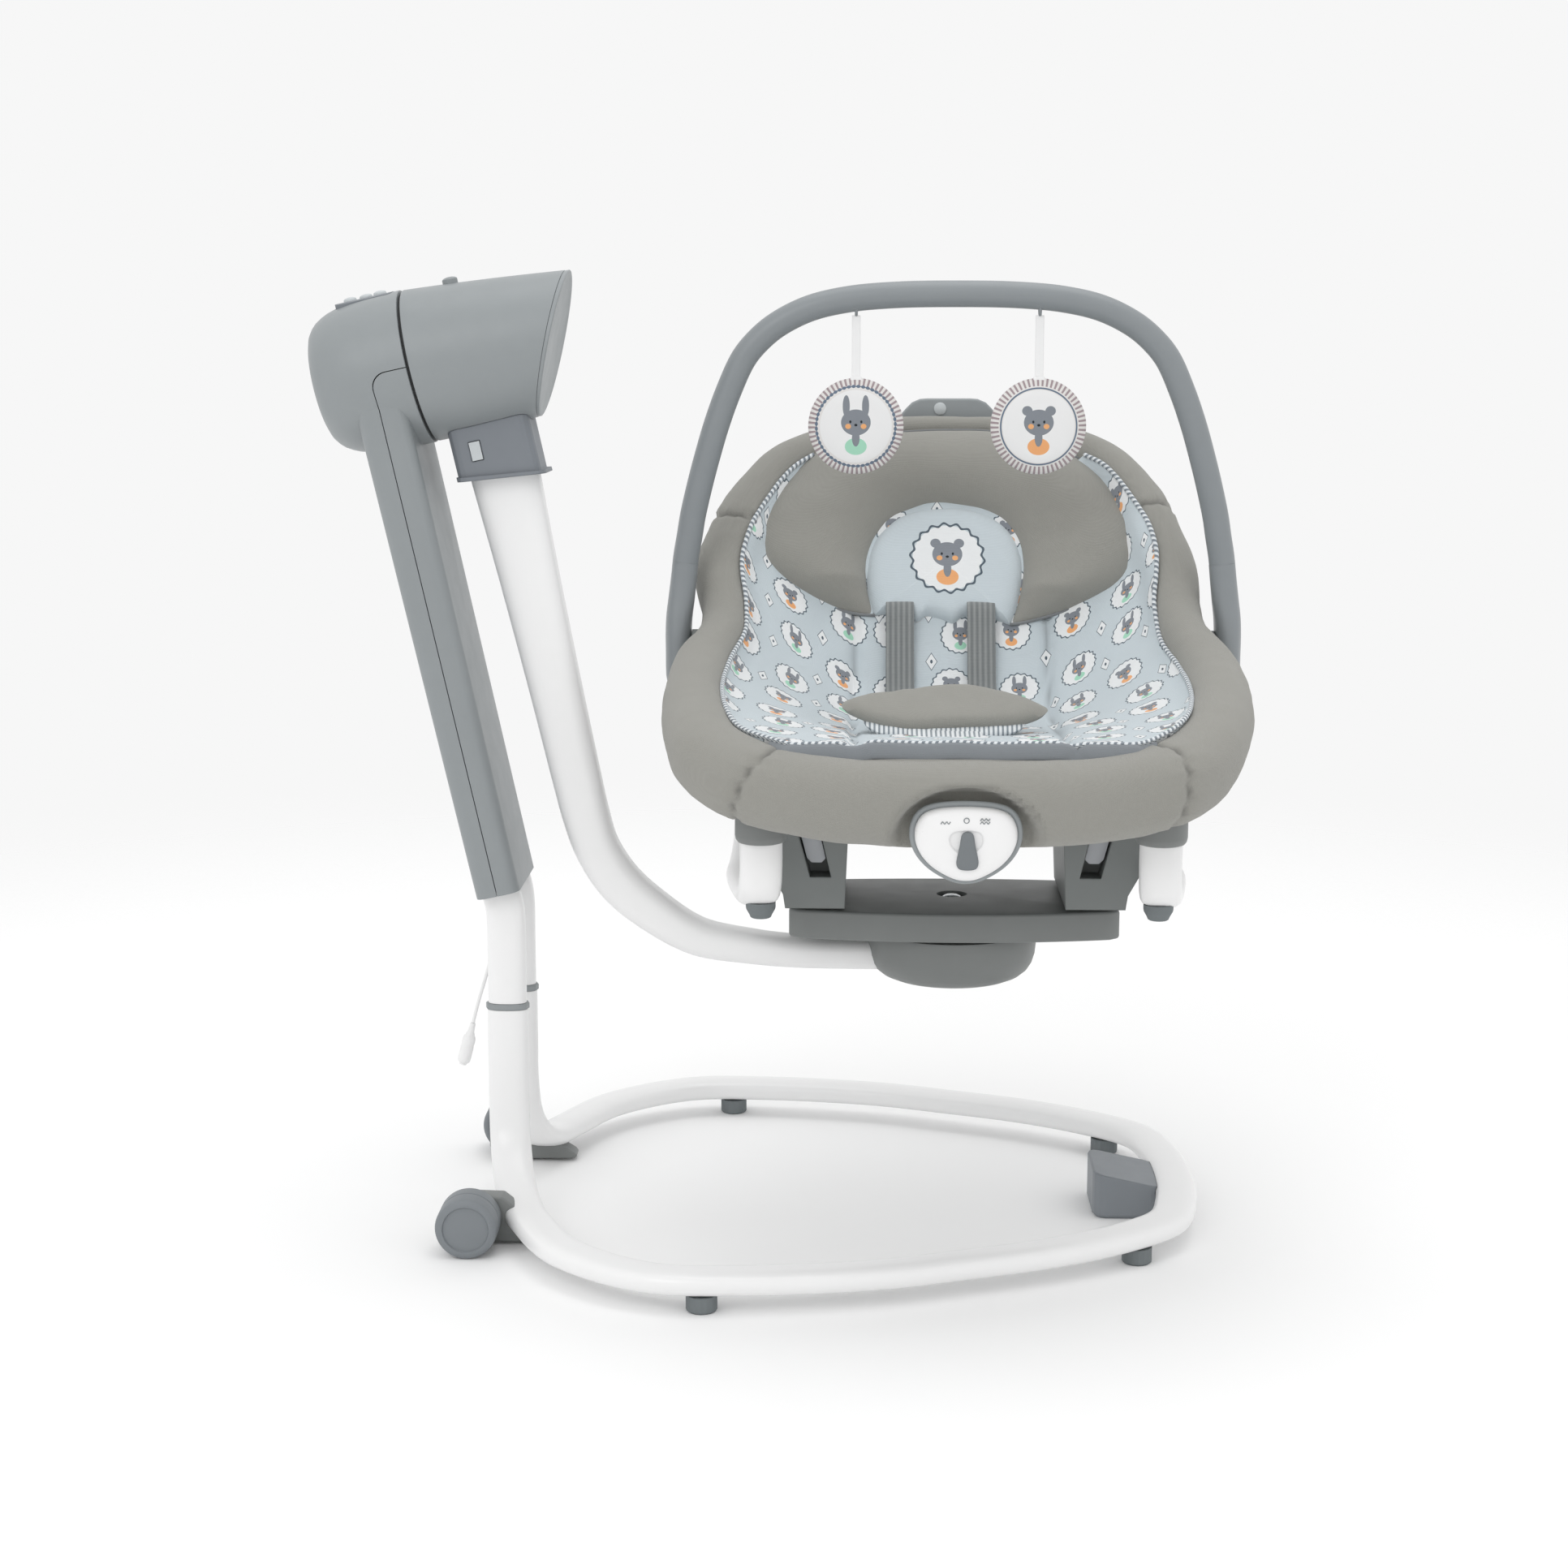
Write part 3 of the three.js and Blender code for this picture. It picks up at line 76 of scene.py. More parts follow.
# finishes
class Wire:  # one output in a finish; sums and products of wires add their own nodes
    def __init__(self, finish, socket):
        self.finish = finish
        self.socket = socket

    def math(self, operation, *others):
        return self.finish.add("ShaderNodeMath", {"operation": operation}, dict(enumerate((self, *others))))

    def swapped(self, operation, other):
        return self.finish.add("ShaderNodeMath", {"operation": operation}, {0: other, 1: self})

    def __add__(self, other):
        return self.math("ADD", other)

    def __sub__(self, other):
        return self.math("SUBTRACT", other)

    def __rsub__(self, other):
        return self.swapped("SUBTRACT", other)

    def __mul__(self, other):
        return self.math("MULTIPLY", other)

    def __truediv__(self, other):
        return self.math("DIVIDE", other)

    def __pow__(self, other):
        return self.math("POWER", other)

    def __lt__(self, other):
        return self.math("LESS_THAN", other)

    def __gt__(self, other):
        return self.math("GREATER_THAN", other)

    __radd__ = __add__
    __rmul__ = __mul__

    def axis(self, index):
        return self.finish.add("ShaderNodeSeparateXYZ", {}, {0: self}, index)


class Finish:  # one material and the nodes that vary it over the surface
    def __init__(self, name, **fixed):
        self.material = bpy.data.materials.new(name)
        self.material.use_nodes = True
        self.tree = self.material.node_tree
        self.shader = self.tree.nodes["Principled BSDF"]
        for socket, value in fixed.items():
            self.shader.inputs[socket.replace("_", " ")].default_value = value
        self.normal = None

    def add(self, kind, settings, inputs, output=0):
        node = self.tree.nodes.new(kind)
        for key, value in settings.items():
            if key == "stops":
                while len(node.color_ramp.elements) < len(value):
                    node.color_ramp.elements.new(0.5)
                for element, (position, colour) in zip(node.color_ramp.elements, value):
                    element.position = position
                    element.color = (*colour, 1)
            else:
                setattr(node, key, value)
        for key, value in inputs.items():
            if isinstance(value, Wire):
                self.tree.links.new(value.socket, node.inputs[key])
            else:
                node.inputs[key].default_value = value
        return Wire(self, node.outputs[output])

    def here(self, scale=1.0):
        spot = self.add("ShaderNodeTexCoord", {}, {}, 3)
        return self.add("ShaderNodeVectorMath", {"operation": "SCALE"}, {0: spot, 3: scale})

    def flat(self):
        return self.add("ShaderNodeAttribute", {"attribute_name": "flat"}, {}, 1)

    def mark(self, name):
        return self.add("ShaderNodeAttribute", {"attribute_name": name}, {}, 2)

    def noise(self, scale, detail=2.0, rough=0.5):
        return self.add("ShaderNodeTexNoise", {}, {
            "Vector": self.here(), "Scale": scale, "Detail": detail, "Roughness": rough})

    def mix(self, amount, first, second):
        paint = [(*c, 1) if isinstance(c, tuple) else c for c in (first, second)]
        return self.add("ShaderNodeMix", {"data_type": "RGBA"}, {0: amount, 6: paint[0], 7: paint[1]}, 2)

    def present(self, socket):  # what feeds a socket so far
        return Wire(self, self.shader.inputs[socket].links[0].from_socket)

    def feed(self, socket, value):
        self.tree.links.new(value.socket, self.shader.inputs[socket])

    def bump(self, height, distance, strength=1.0):
        inputs = {"Height": height, "Distance": distance, "Strength": strength}
        if self.normal is not None:
            inputs["Normal"] = self.normal
        self.normal = self.add("ShaderNodeBump", {}, inputs)
        self.feed("Normal", self.normal)

    def soften(self, radius):  # light runs round the moulded edges instead of stopping at them
        self.normal = self.add("ShaderNodeBevel", {"samples": 4}, {"Radius": radius})
        self.feed("Normal", self.normal)


def linear(hexColour):
    parts = [int(hexColour[i:i + 2], 16) / 255 for i in (1, 3, 5)]
    return tuple(c / 12.92 if c <= 0.04045 else ((c + 0.055) / 1.055) ** 2.4 for c in parts)


def shade(colour, amount):
    return tuple(min(1, c * amount) for c in colour)


def moulded(name, hexColour, roughness=0.5, edge=0.0, grain=1.0, spread=0.07):
    look = Finish(name, IOR=1.47)
    colour = linear(hexColour)
    if edge:
        look.soften(edge)
    patch = look.noise(9, 4) * 0.6 + look.noise(70, 3) * 0.4
    look.feed("Base Color", look.mix(patch, shade(colour, 1 - spread), shade(colour, 1 + spread)))
    look.feed("Roughness", look.noise(45, 4) * 0.16 + (roughness - 0.08))
    look.bump(look.noise(1500, 3, 0.65), 0.00012 * grain, 0.5)
    look.bump(look.noise(28, 2), 0.0004, 0.12)
    return look.material


def painted(name, hexColour, edge=0.0):
    look = Finish(name, IOR=1.5, Coat_Roughness=0.12)
    colour = linear(hexColour)
    if edge:
        look.soften(edge)
    haze = look.noise(6, 4) * 0.7 + look.noise(60, 2) * 0.3
    look.feed("Base Color", look.mix(haze, shade(colour, 0.965), shade(colour, 1.02)))
    look.feed("Coat Weight", look.noise(12, 2) * 0.2 + 0.15)
    look.feed("Roughness", look.noise(90, 3) * 0.12 + 0.26)
    look.bump(look.noise(420, 2), 0.00010, 0.25)
    return look.material


def metal(name, hexColour, roughness=0.3):
    look = Finish(name, Metallic=1.0)
    colour = linear(hexColour)
    turnedLines = look.add("ShaderNodeTexWave", {"wave_type": "RINGS", "rings_direction": "Z"}, {
        "Vector": look.here(), "Scale": 300.0, "Distortion": 2.0, "Detail": 2.0})
    look.feed("Base Color", look.mix(look.noise(40, 3), shade(colour, 0.85), shade(colour, 1.08)))
    look.feed("Roughness", look.noise(60, 3) * 0.15 + (roughness - 0.07))
    look.bump(turnedLines, 0.00008, 0.3)
    return look.material


def weaveOf(look, pitch):  # crossed threads that need no unwrapping: a fine three-way lattice
    spot = look.here(2 * math.pi / pitch)
    x, y, z = spot.axis(0), spot.axis(1), spot.axis(2)
    sine = lambda w: w.math("SINE")
    cosine = lambda w: w.math("COSINE")
    return sine(x) * cosine(y) + sine(y) * cosine(z) + sine(z) * cosine(x)


# marks turns on painted shade along the sewn seams, read from a point attribute
def cloth(name, hexColour, pitch=0.0011, spread=0.07, crumple=1.0, marks=True):
    look = Finish(name, Roughness=0.9, Sheen_Weight=0.25, Sheen_Roughness=0.45, IOR=1.4,
                  Specular_IOR_Level=0.25)
    colour = linear(hexColour)
    weave = weaveOf(look, pitch)
    blotch = look.noise(11, 5) * 0.55 + look.noise(260, 3) * 0.45
    thread = look.mix(blotch, shade(colour, 1 - spread), shade(colour, 1 + spread))
    thread = look.mix(weave * 0.12 + 0.12, thread, shade(colour, 0.8))
    if marks:  # painted shade: the sewn lines are darkened in their grooves
        thread = look.mix(look.mark("seam"), thread, shade(colour, 0.42))
    look.feed("Base Color", thread)
    look.feed("Roughness", look.noise(300, 2) * 0.1 + 0.84)
    look.bump(weave, 0.00022 * crumple, 0.55)
    look.bump(look.noise(38, 4, 0.6), 0.0016 * crumple, 0.30)
    look.bump(look.noise(13, 3, 0.55), 0.0040 * crumple, 0.22)
    return look


white = painted("whiteTubePaint", "#efefef")
whiteSoft = painted("whiteTubePaintEdges", "#efefef", 0.003)
headPlastic = moulded("headPlastic", "#8e9395", 0.40, grain=0.6)
headPlasticEdge = moulded("headPlasticEdges", "#8e9395", 0.42, 0.0015)
collarPlastic = moulded("collarPlastic", "#7a7f85", 0.5, 0.002)
basePlastic = moulded("basePlastic", "#7c807f", 0.5, 0.0025)
basePlasticSmooth = moulded("basePlasticSmooth", "#7a7d7c", 0.46)
blockPlastic = moulded("blockPlastic", "#7e8388", 0.46, 0.003)
wheelPlastic = moulded("wheelPlastic", "#7c8185", 0.5)
handlePlastic = moulded("handlePlastic", "#868b8e", 0.36, grain=0.6)
padRubber = moulded("padRubber", "#72787a", 0.8, 0.001, 2.2)
buttonPlastic = moulded("buttonPlastic", "#c3c8ca", 0.38)
latchPlastic = moulded("latchPlastic", "#b9bcc0", 0.45, 0.0008)
shellPlastic = moulded("shellPlastic", "#eeeeee", 0.3, grain=0.4, spread=0.02)
knobRubber = moulded("knobRubber", "#74797c", 0.62, grain=2.0)
darkPlastic = moulded("darkPlastic", "#2f3132", 0.6)
steel = metal("turnedSteel", "#c6c9cb", 0.25)
motorCase = metal("motorCase", "#80858a", 0.5)
cordJacket = moulded("cordJacket", "#ededed", 0.4, grain=0.6, spread=0.03)
coverCloth = cloth("coverCloth", "#9b9a94").material
hemCloth = cloth("hemCloth", "#85888a", 0.0014, marks=False).material
satin = cloth("satinStrip", "#90959a", 0.0008, 0.05, 0.7, marks=False).material


# shape helpers
def runAlong(line):  # the way covered at each point of a line
    return np.concatenate([[0], np.cumsum(np.linalg.norm(np.diff(line[:, :3], axis=0), axis=1))])


def smoothLine(rows, count, closed=False, fine=14):
    rows = np.array(rows, float)
    if closed:
        ends = np.vstack([rows[-1:], rows, rows[:2]])
    else:
        ends = np.vstack([2 * rows[:1] - rows[1:2], rows, 2 * rows[-1:] - rows[-2:-1]])
    dense = []
    for i in range(1, len(ends) - 2):
        p = ends[i - 1:i + 3]
        knots = [0.0]
        for a, b in zip(p, p[1:]):
            knots.append(knots[-1] + max(np.linalg.norm(b[:3] - a[:3]), 1e-6) ** 0.5)
        k = knots
        for t in np.linspace(k[1], k[2], fine, endpoint=False):
            blend = lambda a, b, ta, tb: ((tb - t) * a + (t - ta) * b) / (tb - ta)
            a = [blend(p[j], p[j + 1], k[j], k[j + 1]) for j in range(3)]
            b = [blend(a[j], a[j + 1], k[j], k[j + 2]) for j in range(2)]
            dense.append(blend(b[0], b[1], k[1], k[2]))
    dense.append(rows[0] if closed else rows[-1])
    dense = np.array(dense)
    run = runAlong(dense)
    at = np.linspace(0, run[-1], count, endpoint=not closed)
    return np.stack([np.interp(at, run, dense[:, k]) for k in range(dense.shape[1])], 1)


def directions(line, closed=False):
    if closed:
        step = np.roll(line[:, :3], -1, 0) - np.roll(line[:, :3], 1, 0)
    else:
        step = np.gradient(line[:, :3], axis=0)
    return step / np.linalg.norm(step, axis=1)[:, None]


def oval(wide, high, sides, power=2.0):
    a = 2 * np.pi * np.arange(sides) / sides
    bend = lambda c: np.sign(c) * np.abs(c) ** (2 / power)
    return np.stack([wide * bend(np.cos(a)), high * bend(np.sin(a))], 1)


def sweep(line, sections, guide, closed=False):
    along = directions(line, closed)
    rings = []
    for i, (p, t) in enumerate(zip(line, along)):
        thin = np.array(guide(p, t), float)
        thin = thin - thin.dot(t) * t
        thin /= np.linalg.norm(thin)
        wide = np.cross(thin, t)
        section = sections(i) if callable(sections) else sections
        rings.append(p[:3] + section[:, :1] * wide + section[:, 1:] * thin)
    return rings


def piece(name, points, faces, finish, body=None, slot=None, hides=(), angle=45.0, attributes=None):
    mesh = bpy.data.meshes.new(name)
    mesh.from_pydata([tuple(p) for p in metres(points)], [], faces)
    mesh.validate()
    thing = bpy.data.objects.new(name, mesh)
    bpy.context.scene.collection.objects.link(thing)
    for key, values in (attributes or {}).items():
        kind = "FLOAT_VECTOR" if np.ndim(values) == 2 else "FLOAT"
        data = mesh.attributes.new(key, kind, "POINT")
        field = "vector" if kind == "FLOAT_VECTOR" else "value"
        data.data.foreach_set(field, np.ravel(values).astype(np.float32))
    dress(thing, finish, body, hides, angle)
    return thing


def dress(thing, finish, body=None, hides=(), angle=45.0):
    mesh = thing.data
    mesh.materials.clear()
    mesh.materials.append(finish)
    turnOut(mesh)
    mesh.polygons.foreach_set("use_smooth", [True] * len(mesh.polygons))
    mesh.set_sharp_from_angle(angle=math.radians(angle))
    mesh.update()
    if body:
        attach(thing, body)
    if hides:
        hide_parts(*hides)
    return thing


def turnOut(mesh):
    work = bmesh.new()
    work.from_mesh(mesh)
    bmesh.ops.recalc_face_normals(work, faces=work.faces)
    work.to_mesh(mesh)
    work.free()


def gridFaces(rows, around, closedAround=True, closedAlong=False, start=0):
    faces = []
    for i in range(rows if closedAlong else rows - 1):
        for j in range(around if closedAround else around - 1):
            a, b = i * around + j, i * around + (j + 1) % around
            c, d = ((i + 1) % rows) * around + (j + 1) % around, ((i + 1) % rows) * around + j
            faces.append([start + k for k in (a, b, c, d)])
    return faces


def loft(rings, closed=False, caps=True, start=0):
    around = len(rings[0])
    faces = gridFaces(len(rings), around, True, closed, start)
    if caps and not closed:
        faces.append([start + k for k in range(around)][::-1])
        faces.append([start + (len(rings) - 1) * around + k for k in range(around)])
    return np.concatenate(rings), faces


def together(*parts):  # several lofts as one mesh
    points, faces = [], []
    for p, f in parts:
        base = sum(len(q) for q in points)
        points.append(np.array(p))
        faces += [[base + k for k in face] for face in f]
    return np.concatenate(points), faces


def turned(profile, matrix=None, segments=64):
    a = 2 * np.pi * np.arange(segments) / segments
    rings = []
    for radius, z in profile:
        radius = max(radius, 0.01)
        rings.append(np.stack([radius * np.cos(a), radius * np.sin(a), np.full(segments, z)], 1))
    points, faces = loft(rings)
    return moved(points, matrix), faces


def moved(points, matrix):
    if matrix is None:
        return points
    m = np.array(matrix)
    return points @ m[:3, :3].T + m[:3, 3]


def slab(outline, low, high, bevel=0.0, matrix=None, steps=3):
    work = bmesh.new()
    ring = [work.verts.new((x, y, low)) for x, y in outline]
    face = work.faces.new(ring)
    top = bmesh.ops.extrude_face_region(work, geom=[face])
    raised = [v for v in top["geom"] if isinstance(v, bmesh.types.BMVert)]
    bmesh.ops.translate(work, vec=(0, 0, high - low), verts=raised)
    if bevel:
        level = lambda e: abs(e.verts[0].co.z - e.verts[1].co.z) < 1e-6
        corners = [e for e in work.edges if level(e) or e.calc_face_angle(0) > 0.6]
        bmesh.ops.bevel(work, geom=corners, offset=bevel, segments=steps, profile=0.5, affect="EDGES",
                        clamp_overlap=True)
    work.verts.ensure_lookup_table()
    points = np.array([v.co[:] for v in work.verts])
    faces = [[v.index for v in f.verts] for f in work.faces]
    work.free()
    return moved(points, matrix), faces


def roundBox(halfWide, halfHigh, radius, steps=6, centre=(0, 0)):
    points = []
    for quarter, (sx, sy) in enumerate(((1, 1), (-1, 1), (-1, -1), (1, -1))):
        for i in range(steps + 1):
            a = math.pi / 2 * (quarter + i / steps)
            points.append((centre[0] + sx * (halfWide - radius) + radius * math.cos(a),
                           centre[1] + sy * (halfHigh - radius) + radius * math.sin(a)))
    return points


headMatrix = Matrix(((math.cos(headTilt), 0, -math.sin(headTilt), headCentre[0]), (0, 1, 0, 0),
                     (math.sin(headTilt), 0, math.cos(headTilt), headCentre[2]), (0, 0, 0, 1)))
# alongY pushes an outline in X, Z along Y; turnedAlongX lays a turned shape's axis along X
alongY = Matrix(((1, 0, 0, 0), (0, 0, 1, 0), (0, 1, 0, 0), (0, 0, 0, 1)))
turnedAlongX = Matrix(((0, 0, 1, 0), (0, 1, 0, 0), (-1, 0, 0, 0), (0, 0, 0, 1)))


def shifted(x, y, z, matrix=None):
    return Matrix.Translation((x, y, z)) @ (matrix or Matrix.Identity(4))


def carve(thing, points, faces, operation="DIFFERENCE"):
    tool = piece("tool", points, faces, darkPlastic)
    cutter = thing.modifiers.new("carve", "BOOLEAN")
    cutter.object, cutter.operation, cutter.solver = tool, operation, "EXACT"
    bpy.context.view_layer.update()
    thing.data = bpy.data.meshes.new_from_object(thing.evaluated_get(bpy.context.evaluated_depsgraph_get()))
    thing.modifiers.clear()
    bpy.data.objects.remove(tool)
    return thing


def refinish(finish, *nodes):
    for node in nodes:
        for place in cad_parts[node].material_slots:
            place.material = finish


# the lead and its connector
lead = {"width": 3.4, "lean": 14.5,
        "drop": [(-430.4, 294), (-430.6, 284), (-431, 274), (-431.6, 264), (-432.6, 254), (-434, 244),
                 (-436, 234), (-438.4, 225), (-441, 216), (-443.8, 207), (-446.6, 198), (-449.2, 189),
                 (-451.6, 180), (-453.4, 173)],
        "plug": [(0, 0), (2.2, 0), (2.7, -1), (3.0, -5), (3.3, -9), (4.3, -10.5), (4.3, -12), (5.6, -13.5),
                 (6.2, -16), (6.3, -20), (5.9, -22), (6.3, -24), (6.3, -35), (5.8, -38.5), (4.6, -39.8),
                 (3.5, -40.2), (3.3, -42), (1.6, -42), (1.4, -36), (0, -36)]}


def buildLead():
    exitPoint = fromHead(-44, 0, -postLength - 7.5)
    route = smoothLine([exitPoint, *[(x, 0, z) for x, z in lead["drop"]]], 32)
    line = bpy.data.curves.new("leadLine", "CURVE")
    line.dimensions = "3D"
    line.bevel_depth = lead["width"] / 2000
    line.bevel_resolution = 5
    line.use_fill_caps = True
    spline = line.splines.new("POLY")
    spline.points.add(len(route) - 1)
    for knot, p in zip(spline.points, metres(route)):
        knot.co = (*p, 1)
    line.materials.append(cordJacket)
    flex = bpy.data.objects.new("leadFlex", line)
    bpy.context.scene.collection.objects.link(flex)
    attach(flex, "base")
    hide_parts("lead")
    lean = Matrix.Rotation(math.radians(lead["lean"]), 4, "Y")
    spot = shifted(*route[-1], lean) @ Matrix.Translation((0, 0, -0.3))
    plug = turned(lead["plug"], spot, 40)
    plug = piece("leadPlug", *plug, shellPlastic, "base", "white_shell", ["lead_connector"])
    refinish(darkPlastic, "lead_gland")


buildLead()
print("lead done")

# floor frame
floorFrame = {"wide": 38, "high": 22, "legs": 36, "rear": -415, "length": 628, "half": 290, "height": 26,
              "outline": [(0.054, 0.515), (0.118, 0.786), (0.24, 0.983), (0.358, 1), (0.548, 0.94),
                          (0.672, 0.845), (0.795, 0.735), (0.9, 0.593), (0.967, 0.448), (0.992, 0.25)]}
# the wheels' rounded tread from the inner face outwards, and the plate that carries each of them
wheel = {"axle": (-438, 28),
         "tread": [(0, 0), (22, 0), (25, 0.8), (27.2, 2.8), (28, 5), (28, 18.6), (27.4, 19.2), (27.4, 20.4),
                   (28, 21), (28, 35), (27.2, 37.6), (25.2, 39.4), (22.4, 40), (21.2, 40), (20.6, 39.2),
                   (20.2, 38.2), (12, 38.6), (0, 38.8)],
         "carrier": [(-456, 14), (-456, 40), (-446, 46), (-410, 45), (-399, 36), (-388, 20), (-371, 9),
                     (-368, 5), (-374, 2.6), (-440, 2.6)]}


def buildFloorFrame():
    f = floorFrame
    x, y, h = f["rear"], f["legs"], f["height"]
    half = [(x, y, 196.7), (x, y, 150), (x, y + 1, 108), (x + 2, y + 11, 72), (x + 9, y + 40, h + 17),
            (x + 20, y + 76, h + 2)]
    half += [(x + a * f["length"], b * f["half"], h) for a, b in f["outline"]]
    path = [(p[0], -p[1], p[2]) for p in half] + [(x + f["length"], 0, h)] + half[::-1]
    guide = lambda p, t: (0, math.copysign(abs(t[2]), p[1]), 1)
    rings = sweep(smoothLine(path, 300), oval(f["wide"] / 2, f["high"] / 2, 28, 2.5), guide)
    piece("loopTube", *loft(rings), white, "base", "white_tube", ["base_tube"], 60)
    for end, side in (("front", -1), ("rear", 1)):
        points = [(x, side * y, 203.3), (x, side * y, 223), (x, side * y, 248)]
        points += [tuple(fromHead(-34.5, side * y, -r)) for r in (503, 483, 445, 425)]
        rings = sweep(smoothLine(points, 40), oval(18, 11, 28, 2.5), lambda p, t: (0, 1, 0))
        piece(f"upperLeg{end.title()}", *loft(rings), white, "base", "white_tube", [f"upper_leg_{end}"], 60)
        turn = Matrix.Rotation(math.pi / 2 * -side, 4, "X")
        axleX, axleZ = wheel["axle"]
        tread = turned(wheel["tread"], shifted(axleX, side * 136, axleZ, turn), 80)
        piece(f"wheel{end.title()}", *tread, wheelPlastic, f"wheel_{end}", "cool_grey", [f"wheel_{end}"], 30)
        carrier = slab(wheel["carrier"], *sorted((side * 112.6, side * 134)), 2.0, alongY)
        axle = turned([(0, 0), (6, 0), (6, 12), (0, 12)], shifted(axleX, side * 133, axleZ, turn), 24)
        piece(f"wheelCarrier{end.title()}", *together(carrier, axle), basePlasticSmooth, "base", "dark_grey",
              [f"wheel_bracket_{end}"], 32)
    refinish(blockPlastic, "base_block")
    refinish(headPlasticEdge, "leg_ring_front", "leg_ring_rear")
    for end in ("front", "rear"):
        refinish(padRubber, f"foot_pad_{end}_left", f"foot_pad_{end}_right")


buildFloorFrame()
print("floor frame done")

# post and head
head = {"thick": (20.5, 23.0), "deep": 62, "corner": 11, "groove": 0.4,
        "barrel": [(0.0, -93), (20, -92.9), (38, -92.4), (44, -91.2), (50, -89), (54.5, -85.6), (58, -81.8),
                   (61.4, -76), (64, -70), (66, -63), (67.6, -55), (69, -43), (69.8, -30), (70, -16),
                   (70, -1.4), (69.4, -1), (0, -1)],
        "buttons": (("power_button", -48, 0), ("speed_button", -34, 5), ("timer_button", -20, 0)),
        "dome": [(0, 67.6), (6, 67.6), (6, 71.4), (5.5, 72.4), (4.4, 73.1), (2.6, 73.6), (0, 73.8)]}


def postRings(grow, low, high):
    rings = []
    for half, r in ((head["thick"][0], low), (head["thick"][1], high)):
        ring = roundBox(half + grow, head["deep"] + grow, head["corner"] + grow, 8)
        rings.append(np.array([(x - 34.5, y, r) for x, y in ring]))
    return rings


def buildHead():
    body = piece("headShell", *turned(head["barrel"], headMatrix @ turnedAlongX, 128), headPlastic)
    post, postFaces = loft(postRings(0, -postLength, -20))
    carve(body, moved(post, headMatrix), postFaces, "UNION")
    carve(body, *slab(roundBox(27, 17, 6, 5, (-34, 0)), 58, 95, 0, headMatrix))
    carve(body, *loft([moved(r, headMatrix) for r in postRings(-4, -postLength - 10, -postLength + 4)]))
    other = bpy.data.objects.new("headShellRight", body.data.copy())
    bpy.context.scene.collection.objects.link(other)

    def region(grow):
        left, top, corner = -34.5 - grow, grow, 14
        arc = [(left + corner + corner * math.cos(a), top - corner + corner * math.sin(a))
               for a in np.linspace(math.pi / 2, math.pi, 9)]
        below = -postLength - 40
        return slab([(60, below), (60, top), *arc, (left, below)], -120, 120, 0, headMatrix @ alongY)

    carve(body, *region(head["groove"]))
    carve(other, *region(-head["groove"]), "INTERSECT")
    body.name = "headShellLeft"
    dress(body, headPlastic, "base", ["housing_left_shell"], 32)
    dress(other, headPlastic, "base", ["housing_right_shell"], 32)
    core = [(0, -8), (66, -8), (66, 1.2), (0, 1.2)]
    piece("seamShadow", *turned(core, headMatrix @ turnedAlongX, 64), darkPlastic, "base", "dark_grey")
    refinish(collarPlastic, "control_panel")
    refinish(motorCase, "drive_unit")
    for name, s, y in head["buttons"]:
        cap = turned(head["dome"], headMatrix @ Matrix.Translation((s, y, 0)), 36)
        piece(name.replace("_b", "B"), *cap, buttonPlastic, name, "pale_button", [name])


def rotorRing(share, shrink, sides=112):
    a = 2 * np.pi * np.arange(sides) / sides
    near = np.stack([np.full(sides, 1.6), (69.5 - shrink) * np.cos(a), (69.5 - shrink) * np.sin(a)], 1)
    k = (67 - shrink) / 67
    far = np.stack([126.5 + 27.75 * k * np.sin(a), (66 - shrink) * np.cos(a), -6.6 + 61.2 * k * np.sin(a)], 1)
    return near * (1 - share) + far * share


def buildRotor():
    # each ring's share of the way to the far end, and how far it stands in
    steps = [(0, 1.2), (0.003, 0.3), (0.01, 0)]
    steps += [(s, -0.9 * math.sin(math.pi * s)) for s in np.linspace(0.05, 0.95, 12)]
    steps += [(0.968, 0), (0.9705, 0.5)]
    shell = loft([rotorRing(s, g) for s, g in steps])
    dome = [(0, 60), (7, 60), (7, 69.6), (6.4, 70.4), (5, 71.2), (2.6, 71.8), (0, 71.9)]
    bump = turned(dome, Matrix.Translation((45, 0, 0)), 40)
    points, faces = together(shell, bump)
    points = moved(points, headMatrix)
    piece("rotorShell", points, faces, headPlastic, "arm", "cool_grey", ["rotor_shell"], 30)
    steps = ((0.9715, 1.2), (0.973, 0.3), (0.996, 0.1), (1.0, 0.7), (1.003, 2.2), (1.0, 6), (0.996, 8))
    points, faces = loft([rotorRing(s, g) for s, g in steps])
    points = moved(points, headMatrix)
    piece("rotorCap", points, faces, headPlastic, "arm", "cool_grey", ["rotor_end_cap"], 30)
    refinish(steel, "drive_shaft")
    refinish(collarPlastic, "arm_collar")
    refinish(buttonPlastic, "collar_button")


buildHead()
buildRotor()
print("head done")

# arm and turntable
# the arm's stations: height under the head and half width above, then X, Z, half width and half depth
arm = {"upper": [(-76, 33.5), (-116, 31.7), (-200, 28), (-317, 24.4), (-400, 22.8)],
       "lower": [(-343, 375, 22, 21), (-332.5, 343, 21, 21.5), (-312, 311, 21, 22), (-284, 286, 20, 22.5),
                 (-240, 259.5, 17.5, 23), (-190, 249.8, 15.5, 23.5), (-147, 245.5, 14.5, 24),
                 (-100, 244.6, 14.5, 24), (-45, 244.5, 14.5, 24)],
       "bowl": [(0, 222), (30, 222), (48, 222.6), (58, 224.2), (66, 227.6), (72, 232.6), (76, 239),
                (78.4, 247), (79.6, 258), (80, 268), (79.4, 270), (0, 270)],
       "bolt": [(0, 294.4), (12, 294.4), (12, 295), (10.5, 295.2), (10.2, 297), (8.6, 299), (5.4, 300.4),
                (0, 300.8)]}


